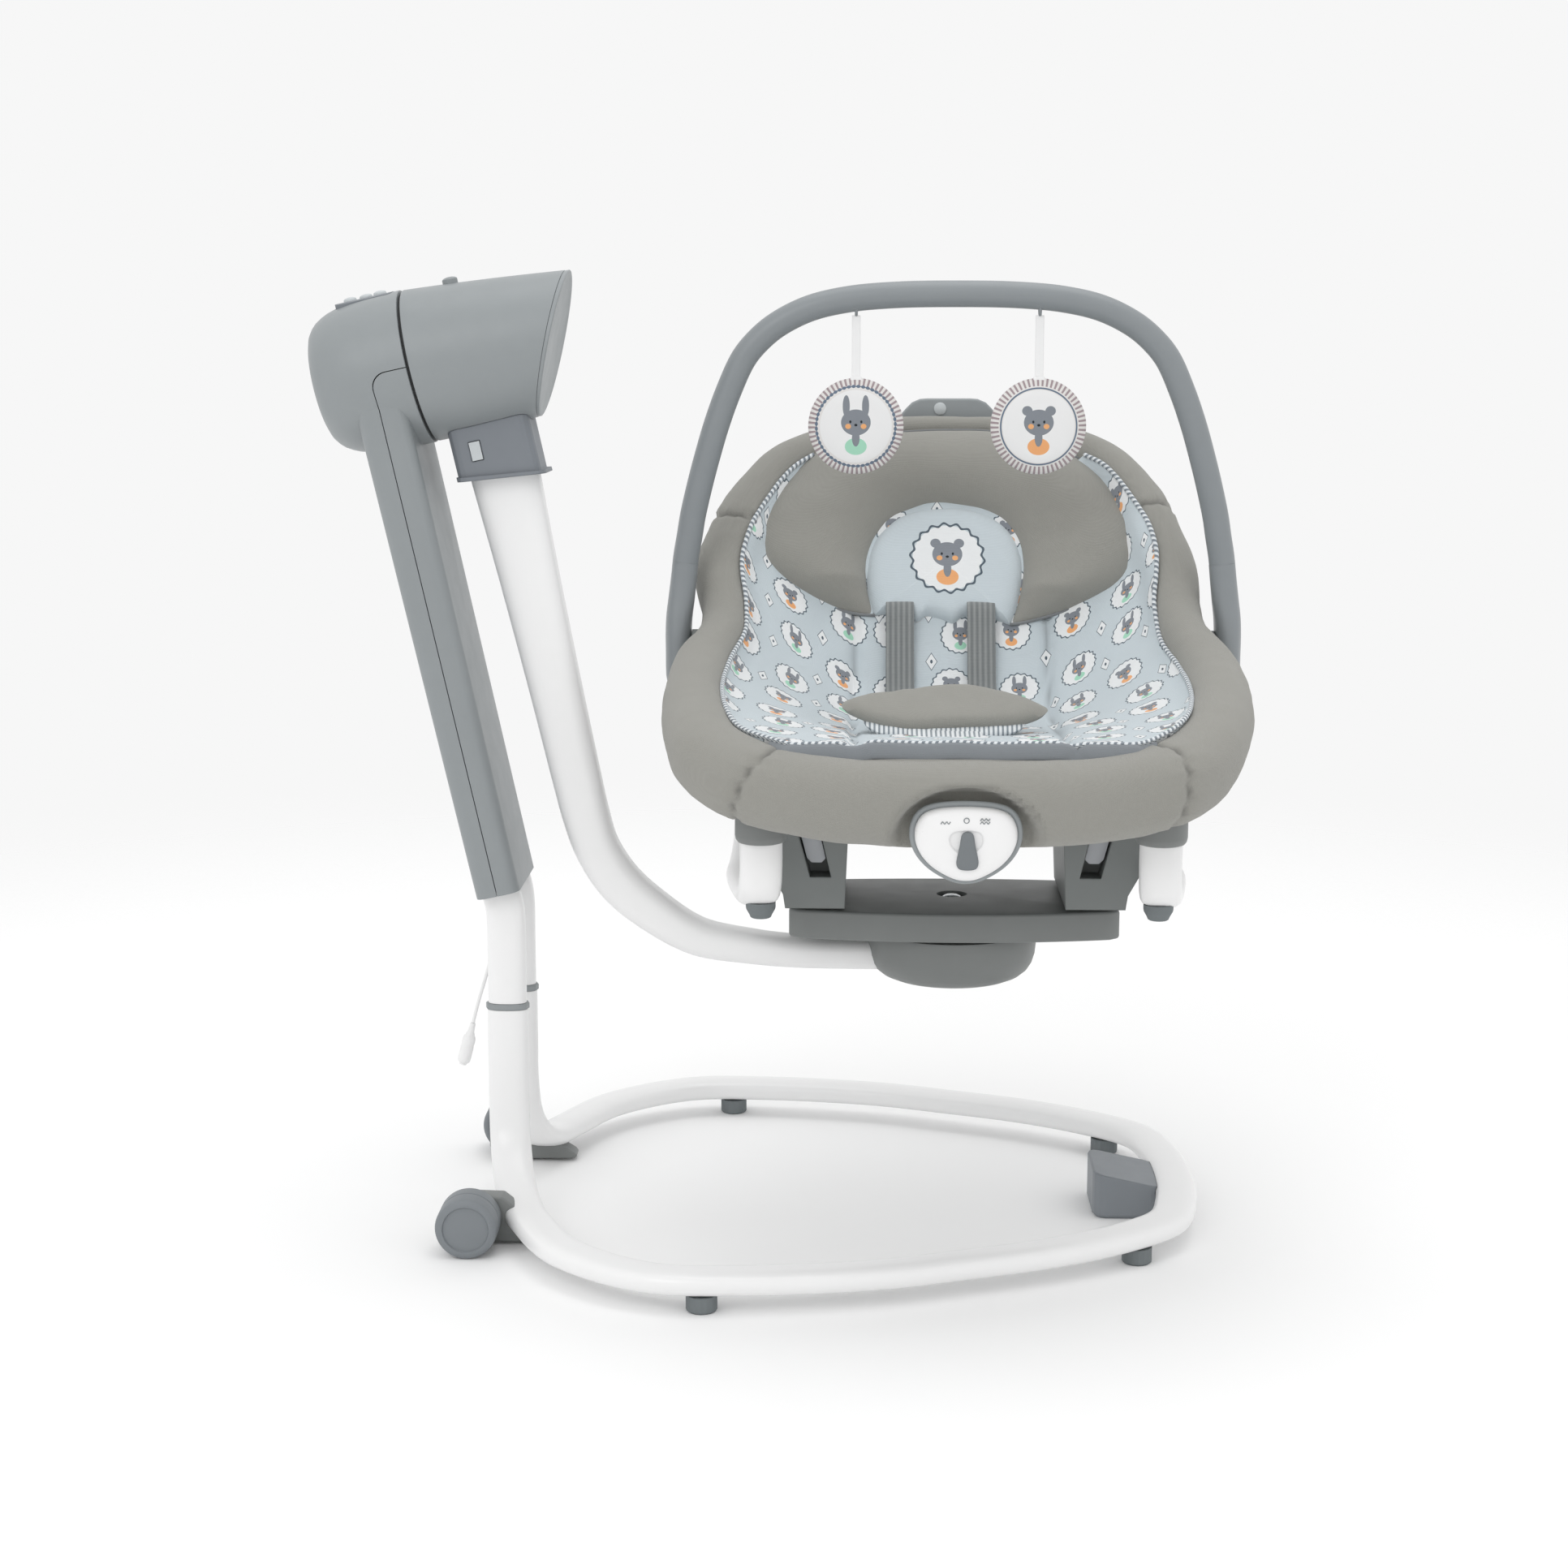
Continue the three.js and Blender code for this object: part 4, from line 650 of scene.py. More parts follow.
def bowed(half, front, bow, rear, corner, steps=40):
    along = [-half + corner + (2 * half - 2 * corner) * i / steps for i in range(steps + 1)]
    lower = [(x, -front - bow * (1 - (x / half) ** 2)) for x in along]
    upper = [(x, rear + bow * 0.6 * (1 - (x / half) ** 2)) for x in reversed(along)]
    right = [(half, -front + corner * 0.6), (half, rear - corner)]
    left = [(-x, y) for x, y in reversed(right)]
    return lower + right + upper + left


def buildArm():
    stations = [(*fromHead(54, 0, r), half, 20) for r, half in arm["upper"]]
    stations += [(x, 0, z, half, deep) for x, z, half, deep in arm["lower"]]
    line = smoothLine(stations, 150)
    rings = sweep(line, lambda i: oval(line[i, 4], line[i, 3], 44, 2.8), lambda p, t: (-t[2], 0, t[0]))
    piece("armTube", *loft(rings), white, "arm", "white_tube", ["arm_tube"], 60)
    piece("hubBowl", *turned(arm["bowl"], None, 112), basePlasticSmooth, "arm", "warm_grey", ["hub_bowl"], 30)
    tray = piece("trayShell", *slab(bowed(151, 72, 18, 62, 9), 274, 301, 3.0), basePlasticSmooth)
    carve(tray, *turned([(0, 293), (13, 293), (14.5, 303), (0, 303)], None, 48))
    boss = turned([(0, 270.4), (62, 270.4), (62, 276), (0, 276)], None, 64)
    for side in (-1, 1):
        peg = slab(roundBox(11, 32, 2, 3, (side * 127, -13)), 300, 316, 0.6)
        carve(tray, *peg, "UNION")
    carve(tray, *boss, "UNION")
    dress(tray, basePlasticSmooth, "cradle", ["cradle_tray"], 32)
    piece("boltHead", *turned(arm["bolt"], None, 48), steel, "arm", "steel", ["turn_bolt"], 30)


buildArm()
print("arm done")

# seat frame
seatFrame = {"front": (171.5, -200), "rear": (190, 150), "height": 339, "plateTop": 407,
             "handleAxis": (60, 515)}


def mirrored(points, side):
    return [(side * x, *rest) for x, *rest in points]


def buildSeatFrame():
    f = seatFrame
    (fx, fy), (rx, ry), z = f["front"], f["rear"], f["height"]
    half = [(148, -212), (fx + 14, fy - 6), (178, -168), (178, 100), (rx + 12, 138), (rx + 12, 160),
            (170, 171)]
    outline = half + [(-x, y) for x, y in reversed(half)]
    parts = [slab(outline, 398, f["plateTop"], 1.5)]
    for side in (-1, 1):
        for (x, y), top in (((fx, fy), 439), ((rx, ry), 435)):
            cup = [(0, 388), (17, 388), (20, 389), (21.8, 391.4), (22.5, 395), (22.5, top - 8),
                   (21.4, top - 3), (17, top), (0, top)]
            parts.append(turned(cup, Matrix.Translation((side * x, y, 0)), 48))
    plate = together(*parts)
    piece("basePlate", *plate, basePlasticSmooth, "seat_base", "warm_grey", ["seat_base_plate"], 32)
    path = [(fx, fy, 427), (fx, fy, z + 50), (fx, fy + 0.5, z + 27), (fx + 1, fy + 6, z + 10),
            (fx + 4, fy + 24, z - 0.5), (rx - 1.5, -88, z - 4), (rx - 1, -20, z - 6), (rx - 0.5, 60, z - 3),
            (rx + 1, ry - 32, z + 2),
            (rx + 1, ry - 8, z + 12), (rx + 0.5, ry, z + 32), (rx, ry, z + 60), (rx, ry, 424)]
    for hand, side in (("left", -1), ("right", 1)):
        line = smoothLine(mirrored(path, side), 130)
        rings = sweep(line, oval(18.5, 12, 28, 2.4), lambda p, t: (0, -t[2], t[1]))
        piece(f"runner{hand.title()}", *loft(rings), white, "seat_base", "white_tube", [f"runner_{hand}"], 60)
        foot = [(0, 318), (8, 318), (9, 318.6), (10, 321), (12.6, 325.6), (13, 327.4), (13, 332), (0, 332)]
        spot = Matrix.Translation((side * (fx + 1), fy + 18, 0))
        piece(f"runnerFoot{hand.title()}", *turned(foot, spot, 40), padRubber, "seat_base", "rubber_grey",
              [f"runner_foot_{hand}"])
    refinish(basePlastic, "latch_tower_left", "latch_tower_right", "side_hub_left", "side_hub_right")
    refinish(latchPlastic, "latch_left", "latch_right")
    refinish(whiteSoft, "seat_ring", "back_ring")


# half of the carrying handle in X, Z, then its foot's stations: X, Z, half width and half depth
handle = {"arch": [(259, 548), (257.5, 562), (255, 580), (251.5, 612), (248, 632), (245, 650), (238.5, 678),
                   (231, 706), (222, 736), (211, 766), (197, 796), (184, 812), (166, 827), (136, 842),
                   (100, 850.5), (56, 854.5)],
          "flare": [(259.5, 606, 12.2, 12.2), (259.3, 590, 12.3, 13.4), (259, 572, 12.4, 16),
                    (259, 556, 12.4, 19), (259, 540, 12.3, 21.6), (259, 522, 12.2, 23),
                    (259, 506, 12.2, 21.6), (259, 498, 11.8, 17.6), (259, 493.6, 10.4, 11.6),
                    (259, 492.2, 7, 6)],
          "radius": 12.2, "top": 855.5, "toys": (-92, 78)}


def buildHandle():
    axisY, axisZ = seatFrame["handleAxis"]
    half = [(x, axisY, z) for x, z in handle["arch"]]
    line = smoothLine(half + [(0, axisY, handle["top"])] + mirrored(reversed(half), -1), 220)
    parts = [loft(sweep(line, oval(handle["radius"], handle["radius"], 32), lambda p, t: (0, 1, 0)))]
    # each foot of the arch flares into a flat pod round its pivot
    for side in (-1, 1):
        stations = []
        for x, z, wide, deep in handle["flare"]:
            lean = np.interp(z, [548, 562, 580, 612], [259, 257.5, 255, 251.5]) if z > 548 else x
            stations.append((side * lean, axisY, z, wide, deep))
        dense = smoothLine(stations, 46)
        rings = sweep(dense, lambda i, d=dense: oval(d[i, 4], d[i, 3], 40, 2.35), lambda p, t: (1, 0, 0))
        parts.append(loft(rings))
        spot = shifted(side * 247.5, axisY, axisZ, turnedAlongX)
        parts.append(turned([(0, -8), (8, -8), (8, 2), (0, 2)], spot, 32))  # the pivot pin
    for x in handle["toys"]:  # the toys hang from small eyes under the crown
        a = np.linspace(0, 2 * np.pi, 25)[:-1]
        eye = np.stack([np.full(24, x), axisY + 5.2 * np.cos(a), 841.5 + 5.2 * np.sin(a)], 1)
        parts.append(loft(sweep(eye, oval(1.5, 1.5, 10), lambda p, t: (1, 0, 0), True), True))
    piece("handleArch", *together(*parts), handlePlastic, "handle", "cool_grey", ["handle_bar"], 50)


buildSeatFrame()
buildHandle()
print("seat frame done")

# padded seat
# the rolled rim from the front to the back: X on the right, Y, Z, half depth, half height, X on the left
rim = [(0, -286, 437, 37, 35, 0), (60, -284, 437, 37, 35, -60), (120, -273, 440, 36, 34, -121),
       (174, -246, 449, 34, 34, -180), (204, -205, 462, 32, 33, -215), (220, -165, 475, 30, 31, -227),
       (233, -100, 492, 28, 28, -235), (230, -20, 514, 27, 27, -232), (216, 33, 537, 22, 24, -217),
       (212, 66, 556, 22, 24, -215), (208, 106, 591, 26, 27, -220), (197, 133, 620, 27, 27, -209),
       (184, 161, 652, 25, 25, -194), (150, 200, 694, 21, 21, -155), (88, 226, 717, 15, 16, -92),
       (0, 234, 724, 13, 14, 0)]
# the bowl's rows: Y, Z in the middle, then X, Y, Z at the side
rows = np.array([(-276, 465, 120, -274, 464), (-258, 472, 150, -256, 470), (-225, 469, 196, -222, 476),
                 (-178, 464, 220, -176, 484), (-100, 457, 230, -100, 498), (-20, 450, 226, -18, 518),
                 (35, 452, 211, 35, 540), (70, 468, 208, 66, 560), (94, 500, 210, 92, 584),
                 (122, 550, 206, 120, 610), (150, 602, 190, 153, 646), (180, 656, 156, 194, 692),
                 (204, 694, 100, 220, 716)], float)


def rowAt(v):
    k = int(min(max(math.floor(v), 0), len(rows) - 2))
    t = v - k
    p = [rows[max(k - 1, 0)], rows[k], rows[k + 1], rows[min(k + 2, len(rows) - 1)]]
    return 0.5 * (2 * p[1] + (p[2] - p[0]) * t + (2 * p[0] - 5 * p[1] + 4 * p[2] - p[3]) * t * t
                  + (3 * p[1] - p[0] - 3 * p[2] + p[3]) * t ** 3)


def seatSpot(v, across):
    sy, sz, rx, ry, rz = rowAt(v)
    share = abs(across)
    rise = max(0.0, (share - 0.34) / 0.66) ** 1.45
    rise = 0.85 * rise + 0.15 * share ** 3
    return np.array((rx * across, sy + (ry - sy) * rise, sz + (rz - sz) * rise))


def seatPoint(v, across, lift):
    p = seatSpot(v, across)
    a = seatSpot(v, across + 0.02) - seatSpot(v, across - 0.02)
    b = seatSpot(min(v + 0.15, len(rows) - 1), across) - seatSpot(max(v - 0.15, 0), across)
    n = np.cross(a, b)
    return p + n / np.linalg.norm(n) * lift


def crossing(thing):
    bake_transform(thing)


def wobble(p, size, amount, seed=0.0):
    return amount * noise.noise(Vector(p) / size + Vector((seed, seed * 2.3, -seed)))


roll = {"sides": 44, "steps": 420, "groove": 3.2, "puff": 2.3,
        "seams": [(166, -250), (-171, -251), (190, 147), (-200, 147)]}


def buildRoll():
    right = [station[:5] for station in rim]
    left = [(station[5], *station[1:5]) for station in rim[1:-1]]
    line = smoothLine(right + left[::-1], roll["steps"], True)
    along = directions(line, True)
    run = runAlong(line)
    seamRuns = [run[np.argmin(np.hypot(line[:, 0] - x, line[:, 1] - y))] for x, y in roll["seams"]]
    rings, seam = [], []
    for i, (p, t) in enumerate(zip(line, along)):
        outward = np.array((t[1], -t[0], 0.0))
        outward /= np.linalg.norm(outward)
        up = np.cross(outward, t)
        ring = []
        for j, (a, b) in enumerate(oval(1, 1, roll["sides"], roll["puff"])):
            angle = 2 * math.pi * j / roll["sides"]
            lean = 9 * math.sin(angle)  # each seam leans along the roll instead of running square across it
            near = min(abs(run[i] - s - lean) for s in seamRuns)
            pinch = roll["groove"] * math.exp(-(near / 3.2) ** 2)
            pucker = 0.9 * math.exp(-(near / 16) ** 2) * math.sin(angle * 13 + run[i] * 0.05)
            spot = p[:3] + outward * a * p[3] + up * b * p[4]
            out = spot - p[:3]
            out /= np.linalg.norm(out)
            spot = spot + out * (wobble(spot, 46, 1.6) + wobble(spot, 17, 0.5, 3) + pucker - pinch)
            # the cloth gives way where the vibration unit stands in front of it
            share = math.hypot(spot[0] / 52, (spot[2] - 411) / 38)
            if spot[1] < -292 and share < 1.25:
                give = min(1.0, max(0.0, (1.25 - share) / 0.22))
                spot = spot + np.array((0, (-292 - spot[1]) * give * give * (3 - 2 * give), 0))
            ring.append(spot)
            # painted shade in the pinched seam grooves
            seam.append(math.exp(-(near / 1.3) ** 2) * 0.75)
        rings.append(np.array(ring))
    points, faces = loft(rings, True)
    thing = piece("coverRoll", points, faces, coverCloth, None, "cover_cloth", ["seat_cover", "back_cover"],
                  180, {"seam": np.array(seam)})
    crossing(thing)


def sheetGrid(v0, v1, reach, low, high, nv, na):
    # a closed padded sheet over the seat's surface: rings run over its top and back under it
    rings = []
    ends = [0.0] + list(np.linspace(0, 1, nv)) + [1.0]
    for e, share in enumerate(ends):
        v = v0 + (v1 - v0) * share
        closing = e in (0, len(ends) - 1)
        top, bottom = [], []
        for q in np.linspace(-1, 1, na):
            round_ = (1 - abs(q) ** 14) ** 0.5 * (1 - abs(2 * share - 1) ** 26) ** 0.5
            raised = low + (high - low) * (0.0 if closing else 0.25 + 0.75 * round_)
            spot = seatPoint(v, q * reach, raised)
            spot = spot + np.array((0, 0, 1)) * wobble(spot, 40, 0.9, 7)
            top.append(spot)
            bottom.append(seatPoint(v, q * reach, low))
        rings.append(np.array(top + bottom[::-1]))
    return loft(rings, False, False)


def printedCloth():
    look = cloth("linerCloth", "#cdd7dc", 0.0009, 0.03, 0.8)
    colour = look.present("Base Color")
    for spacing, shift, size in ((0.056, 0.0, 1.0), (0.056, 0.5, 0.42)):
        spot = look.add("ShaderNodeVectorMath", {"operation": "SCALE"}, {0: look.flat(), 3: 1 / spacing})
        spot = look.add("ShaderNodeVectorMath", {"operation": "ADD"}, {0: spot, 1: (shift, shift, 0.5)})
        scatter = {"Vector": spot, "Scale": 1.0, "Randomness": 0.28}
        cell = look.add("ShaderNodeTexVoronoi", {"voronoi_dimensions": "2D"}, scatter, 2)
        tone = look.add("ShaderNodeTexVoronoi", {"voronoi_dimensions": "2D"}, scatter, 1)
        local = look.add("ShaderNodeVectorMath", {"operation": "SUBTRACT"}, {0: spot, 1: cell})
        x, y = local.axis(0) / size, local.axis(1) / size
        which = tone.axis(0)
        colour = medallion(look, colour, x, y, which, size)
    look.feed("Base Color", colour)
    return look.material


def disc(x, y, cx, cy, a, b):
    return ((x - cx) ** 2 / (a * a) + (y - cy) ** 2 / (b * b)) < 1


def medallion(look, under, x, y, which, size):
    ink, paper = linear("#5a6670"), linear("#eef0f1")
    radius = (x * x + y * y).math("SQRT")
    angle = y.math("ARCTAN2", x)
    scallop = (angle * 18).math("SINE") * 0.014
    ring = (radius + scallop < 0.34) - (radius + scallop < 0.318)
    if size < 0.9:  # the small motif is a plain lozenge with a dot
        lozenge = x.math("ABSOLUTE") * 1.7 + y.math("ABSOLUTE")
        colour = look.mix((lozenge < 0.42) * (which > 0.35), under, ink)
        colour = look.mix((lozenge < 0.37) * (which > 0.35), colour, paper)
        return look.mix(disc(x, y, 0, 0, 0.05, 0.09) * (which > 0.35), colour, ink)
    colour = look.mix(radius < 0.318, under, paper)
    colour = look.mix(ring, colour, ink)
    return animal(look, colour, x / 0.3, y / 0.3, which)


def animal(look, under, x, y, which):
    # a plain round-cheeked head: round ears or long ears, two eyes, a nose and a scarf
    fur, cheek = linear("#8a8f96"), linear("#f0b27c")
    long_ = which > 0.5
    side = x.math("ABSOLUTE")
    ears = disc(side, y, 0.30, 0.62, 0.11, 0.34) * long_ + disc(side, y, 0.36, 0.48, 0.16, 0.15) * (1 - long_)
    face = disc(x, y, 0, 0.12, 0.46, 0.40)
    scarf = disc(x, y, 0, -0.62, 0.34, 0.26)
    colour = look.mix(ears, under, fur)
    colour = look.mix(scarf, colour, look.mix(long_, linear("#f1b07a"), linear("#a9dcc3")))
    colour = look.mix(disc(x, y, 0, -0.36, 0.12, 0.26), colour, fur)
    colour = look.mix(face, colour, fur)
    colour = look.mix(disc(side, y, 0.24, 0.0, 0.09, 0.08), colour, cheek)
    colour = look.mix(disc(side, y, 0.17, 0.14, 0.035, 0.045), colour, linear("#2e3338"))
    return look.mix(disc(x, y, 0, 0.04, 0.05, 0.04), colour, linear("#2e3338"))


linerCloth = printedCloth()

# how far the lining reaches sideways at each row: row, left share, right share
linerEdge = [(1.15, 0.93, 0.90), (1.6, 0.90, 0.89), (2.4, 0.91, 0.90), (3.4, 0.93, 0.91), (4.4, 0.945, 0.93),
             (5.4, 0.96, 0.94), (6.4, 0.98, 0.96), (7.4, 1.00, 0.98), (8.4, 1.01, 1.00), (9.4, 1.00, 0.99),
             (10.4, 0.97, 0.96), (11.2, 0.93, 0.92)]
liner = {"thick": 11.0, "over": 5.0, "rows": 120, "across": 91, "smooth": 5, "sideSeam": 92, "sheet": 6.0}


def reachAt(v, side):
    table = np.array(linerEdge)
    return float(np.interp(v, table[:, 0], table[:, 1 if side < 0 else 2]))


def linerSpots():
    # the lining lies on the seat's bowl and climbs over the rim's inner side
    tree = BVHTree.FromObject(bpy.data.objects["coverRoll"], bpy.context.evaluated_depsgraph_get())
    low, high = linerEdge[0][0], linerEdge[-1][0]
    count, across = liner["rows"], liner["across"]
    spots = np.zeros((count, across, 3))
    ups = np.zeros((count, across, 3))
    lifts = np.zeros((count, across))
    for i, v in enumerate(np.linspace(low, high, count)):
        for j, q in enumerate(np.linspace(-1, 1, across)):
            share = q * reachAt(v, q)
            spots[i, j] = seatPoint(v, share, 0)
            up = seatPoint(v, share, 1) - spots[i, j]
            ups[i, j] = up
            start = metres(spots[i, j] + up * 90)[0]
            hit = tree.ray_cast(Vector(start), Vector(-up), 0.089)
            rolled = 90 - hit[3] * 1000 + liner["over"] if hit[0] is not None else 0.0
            lifts[i, j] = max(liner["thick"], rolled)
    for _ in range(liner["smooth"]):
        grown = np.pad(lifts, 1, mode="edge")
        mean = (grown[:-2, 1:-1] + grown[2:, 1:-1] + grown[1:-1, :-2] + grown[1:-1, 2:]) / 4
        lifts = np.maximum(lifts * 0.4 + mean * 0.6, lifts - 0.6)
    return spots, ups, lifts


def buildBowlAndLiner():
    points, faces = sheetGrid(0, len(rows) - 1, 0.96, -15, -1, 70, 61)
    bowl = piece("coverBowl", points, faces, coverCloth, None, "cover_cloth", (), 180,
                 {"seam": np.zeros(len(points))})
    crossing(bowl)
    spots, ups, lifts = linerSpots()
    count, across = lifts.shape
    rings, flats, seam = [], [], []
    run = runAlong(spots[:, across // 2])
    for i in [0, *range(count), count - 1]:
        top = spots[i] + ups[i] * lifts[i][:, None]
        side = runAlong(top)
        side -= side[across // 2]
        # the side panels are sewn to the seat along a sunk line
        tuck = 6.0 * np.exp(-((np.abs(side) - liner["sideSeam"]) / 5.0) ** 2)
        top = top - ups[i] * tuck[:, None]
        top = np.array([p + (wobble(p, 34, 1.5, 7) + wobble(p, 12, 0.4, 2)) * u for p, u in zip(top, ups[i])])
        under = top - ups[i] * liner["sheet"]
        rings.append(np.concatenate([top, under[::-1]]))
        flat = np.stack([side, np.full(across, run[i]), np.zeros(across)], 1) * 0.001
        flats += [flat, flat[::-1]]
        # painted shade along the sunk side seam
        line = np.exp(-((np.abs(side) - liner["sideSeam"]) / 1.6) ** 2) * 0.5
        seam += [line, line[::-1]]
    rings[0] = np.concatenate([rings[0][across:][::-1], rings[0][across:]])
    rings[-1] = np.concatenate([rings[-1][across:][::-1], rings[-1][across:]])
    points, faces = loft(rings, False, False)
    lining = piece("liner", points, faces, linerCloth, None, "liner_cloth", ["seat_insert", "back_insert"],
                   180, {"flat": np.concatenate(flats), "seam": np.concatenate(seam)})
    crossing(lining)
    border = [rings[i][across - 1] for i in range(count, 1, -1)]
    border += [rings[1][j] for j in range(across - 1, -1, -1)]
    border += [rings[i][0] for i in range(2, count + 1)]
    return np.array(border)


def ropeFinish():
    look = Finish("pipingRope", Roughness=0.85, Sheen_Weight=0.2)
    twist = look.flat().axis(0) * 1100 + look.flat().axis(1)
    stripe = (twist.math("SINE") > 0.1) * 1.0
    look.feed("Base Color", look.mix(stripe, linear("#dfe4e7"), linear("#7d868e")))
    look.bump(twist.math("SINE"), 0.0006, 0.8)
    return look.material


def tubeAlong(name, line, radius, finish, sides=12):
    guide = lambda p, t: (0.13, 0.31, 1) if abs(t[2]) < 0.9 else (1, 0.2, 0)
    points, faces = loft(sweep(line, oval(radius, radius, sides), guide))
    run = runAlong(line) * 0.001
    flat = np.array([(r, 2 * math.pi * j / sides, 0) for r in run for j in range(sides)])
    return piece(name, points, faces, finish, None, "liner_cloth", (), 180, {"flat": flat})


def buildPiping(border):
    line = smoothLine(border[::4], 460)
    crossing(tubeAlong("linerPiping", line, 2.2, ropeFinish()))
    front = smoothLine([p for p in border if p[1] < -236][::3], 120)
    strip = [p + np.array((0, -3.0, -6.5)) for p in front]
    rings = sweep(np.array(strip), oval(7.5, 2.4, 20, 3), lambda p, t: (0, -1, 0.35))
    piece("satinStrip", *loft(rings), satin, "seat_base", "liner_cloth", (), 60)


buildRoll()
buildPiping(buildBowlAndLiner())
print("cover and liner done")

# pillow and its centre panel
pillow = {"outer": [(-73, 550), (-88, 551), (-107, 555), (-131, 562), (-155, 574), (-179, 588), (-195, 604),
                    (-202, 622), (-199, 639), (-184, 658), (-160, 681), (-128, 704), (-84, 718), (-43, 721.5),
                    (-2, 723), (46, 721.5), (87, 712), (126, 697), (154, 678), (177, 658), (190, 642),
                    (194.5, 620), (189, 598), (175, 581), (146, 567), (114, 556), (83, 547), (68, 543.5),
                    (57, 542)],
          "inner": [(-73, 550), (-80, 573), (-80, 600), (-72, 621), (-55, 638), (-31, 647), (-3, 650),
                    (25, 647), (49, 637), (64, 619), (70, 596), (66, 566), (57, 542)],
          "foot": [(57, 542), (44, 546), (31, 548), (12, 549), (2, 543), (-10, 547), (-24, 549), (-32, 544),
                   (-44, 548), (-59, 551), (-73, 550)],
          "crown": 27, "back": 3, "lift": np.array((0, -0.857, 0.515))}


def onBack(x, z, lift):
    # the pillow lies on the backrest, whose sides curve forward
    y = 116 + (z - 560) * 0.60 + 16 * max(0.0, 1 - abs(x / 215) ** 2.2) - 14
    return np.array((x, y, z)) + pillow["lift"] * lift


def buildPillow():
    count, across = 150, 30
    outer = smoothLine([(x, 0, z) for x, z in pillow["outer"]], count)
    inner = smoothLine([(x, 0, z) for x, z in pillow["inner"]], count)
    rings, seam = [], []
    for i in range(count):
        s = i / (count - 1)
        ends = min(1.0, s / 0.10, (1 - s) / 0.10) ** 0.55
        top, bottom = [], []
        for k in range(across + 1):
            r = 0.5 - 0.5 * math.cos(math.pi * k / across)
            x, _, z = inner[i] * (1 - r) + outer[i] * r
            width = np.linalg.norm(outer[i] - inner[i])
            crown = pillow["crown"] * min(1, width / 75) ** 0.7 * math.sin(math.pi * r) ** 0.55 * ends
            spot = onBack(x, z, crown)
            soft = (wobble(spot, 50, 2.0, 11) + wobble(spot, 16, 0.5, 5)) * min(1, crown / 8)
            top.append(spot + pillow["lift"] * soft)
            bottom.append(onBack(x, z, -pillow["back"]))
            # painted shade along the pillow's inner and outer edges
            seam.append(0.6 if k in (0, across) else 0.0)
        seam += [0.6 if k in (0, across) else 0.0 for k in range(across, -1, -1)]
        rings.append(np.array(top + bottom[::-1]))
    points, faces = loft(rings)
    thing = piece("headPillow", points, faces, coverCloth, "seat_back", "cover_cloth", ["head_pillow"], 180,
                  {"seam": np.array(seam)})
    edge = [onBack(x, z, 3) for x, _, z in outer]
    tubeAlong("pillowPiping", np.array(edge), 1.5, hemCloth)
    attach(bpy.data.objects["pillowPiping"], "seat_back")


def faceCloth(name, which, scale, centre):
    look = cloth(name, "#cdd7dc", 0.0009, 0.03, 0.8, marks=False)
    x = (look.flat().axis(0) - centre[0]) / scale
    y = (look.flat().axis(1) - centre[1]) / scale
    look.feed("Base Color", medallion(look, look.present("Base Color"), x, y, which, 1.0))
    return look.material


def buildCentrePanel():
    inner = smoothLine([(x, 0, z) for x, z in pillow["inner"]], 90)
    foot = smoothLine([(x, 0, z) for x, z in pillow["foot"]], 60)
    border = np.concatenate([inner, foot])
    centre = np.array((-4, 0, 596.0))
    points, flats, faces = [], [], []
    rings = 16
    for k in range(rings + 1):
        r = math.sin(math.pi / 2 * k / rings)
        for x, _, z in centre + (border - centre) * (1.0 - r * 0.985):
            lift = 9 * (1 - (1 - r) ** 8) ** 0.5 + 3
            spot = onBack(x, z, lift)
            points.append(spot + wobble(spot, 30, 0.8, 2) * pillow["lift"])
            flats.append(((x + 3) * 0.001, (z - 599) * 0.001 * 1.12, 0))
    faces = gridFaces(rings + 1, len(border))
    faces.append([rings * len(border) + k for k in range(len(border))])
    start = len(points)
    for x, _, z in border:
        points.append(onBack(x, z, -1))
        flats.append((0.2, 0.2, 0))
    for k in range(len(border)):
        n = (k + 1) % len(border)
        faces.append([k, n, start + n, start + k])
    faces.append([start + k for k in range(len(border))][::-1])
    finish = faceCloth("panelCloth", 0.2, 0.105, (0, 0))
    thing = piece("headPanel", np.array(points), faces, finish, "seat_back", "liner_cloth", (), 60,
                  {"flat": np.array(flats)})


buildPillow()
buildCentrePanel()
print("pillow done")

# straps, adjusters and the flap between the legs
harness = {"x": (-49, 29), "wide": 27, "thick": 1.8}


def stripedWebbing():
    look = Finish("stripedWebbing", Sheen_Weight=0.15, IOR=1.4)
    across = look.flat().axis(1)
    rib = (across * (2 * math.pi / 0.0052)).math("SINE")
    weft = (look.flat().axis(0) * (2 * math.pi / 0.0011)).math("SINE")
    colour = look.mix(rib * 0.5 + 0.5, linear("#777b7c"), linear("#999c9b"))
    look.feed("Base Color", look.mix(look.noise(200, 3) * 0.35, colour, linear("#6b6f70")))
    look.feed("Roughness", look.noise(90, 2) * 0.1 + 0.78)
    look.bump(rib + weft * 0.35, 0.0005, 0.6)
    return look.material


def strapLine(x):
    lying = [(9.2, 12), (9.05, 21), (8.6, 20), (8.0, 18), (7.3, 17), (6.6, 17), (5.9, 18)]
    points = [seatPoint(v, x / rowAt(v)[2], lift) for v, lift in lying]
    return smoothLine(points + [(x, -22, 478), (x, -45, 488), (x, -66, 497)], 70)


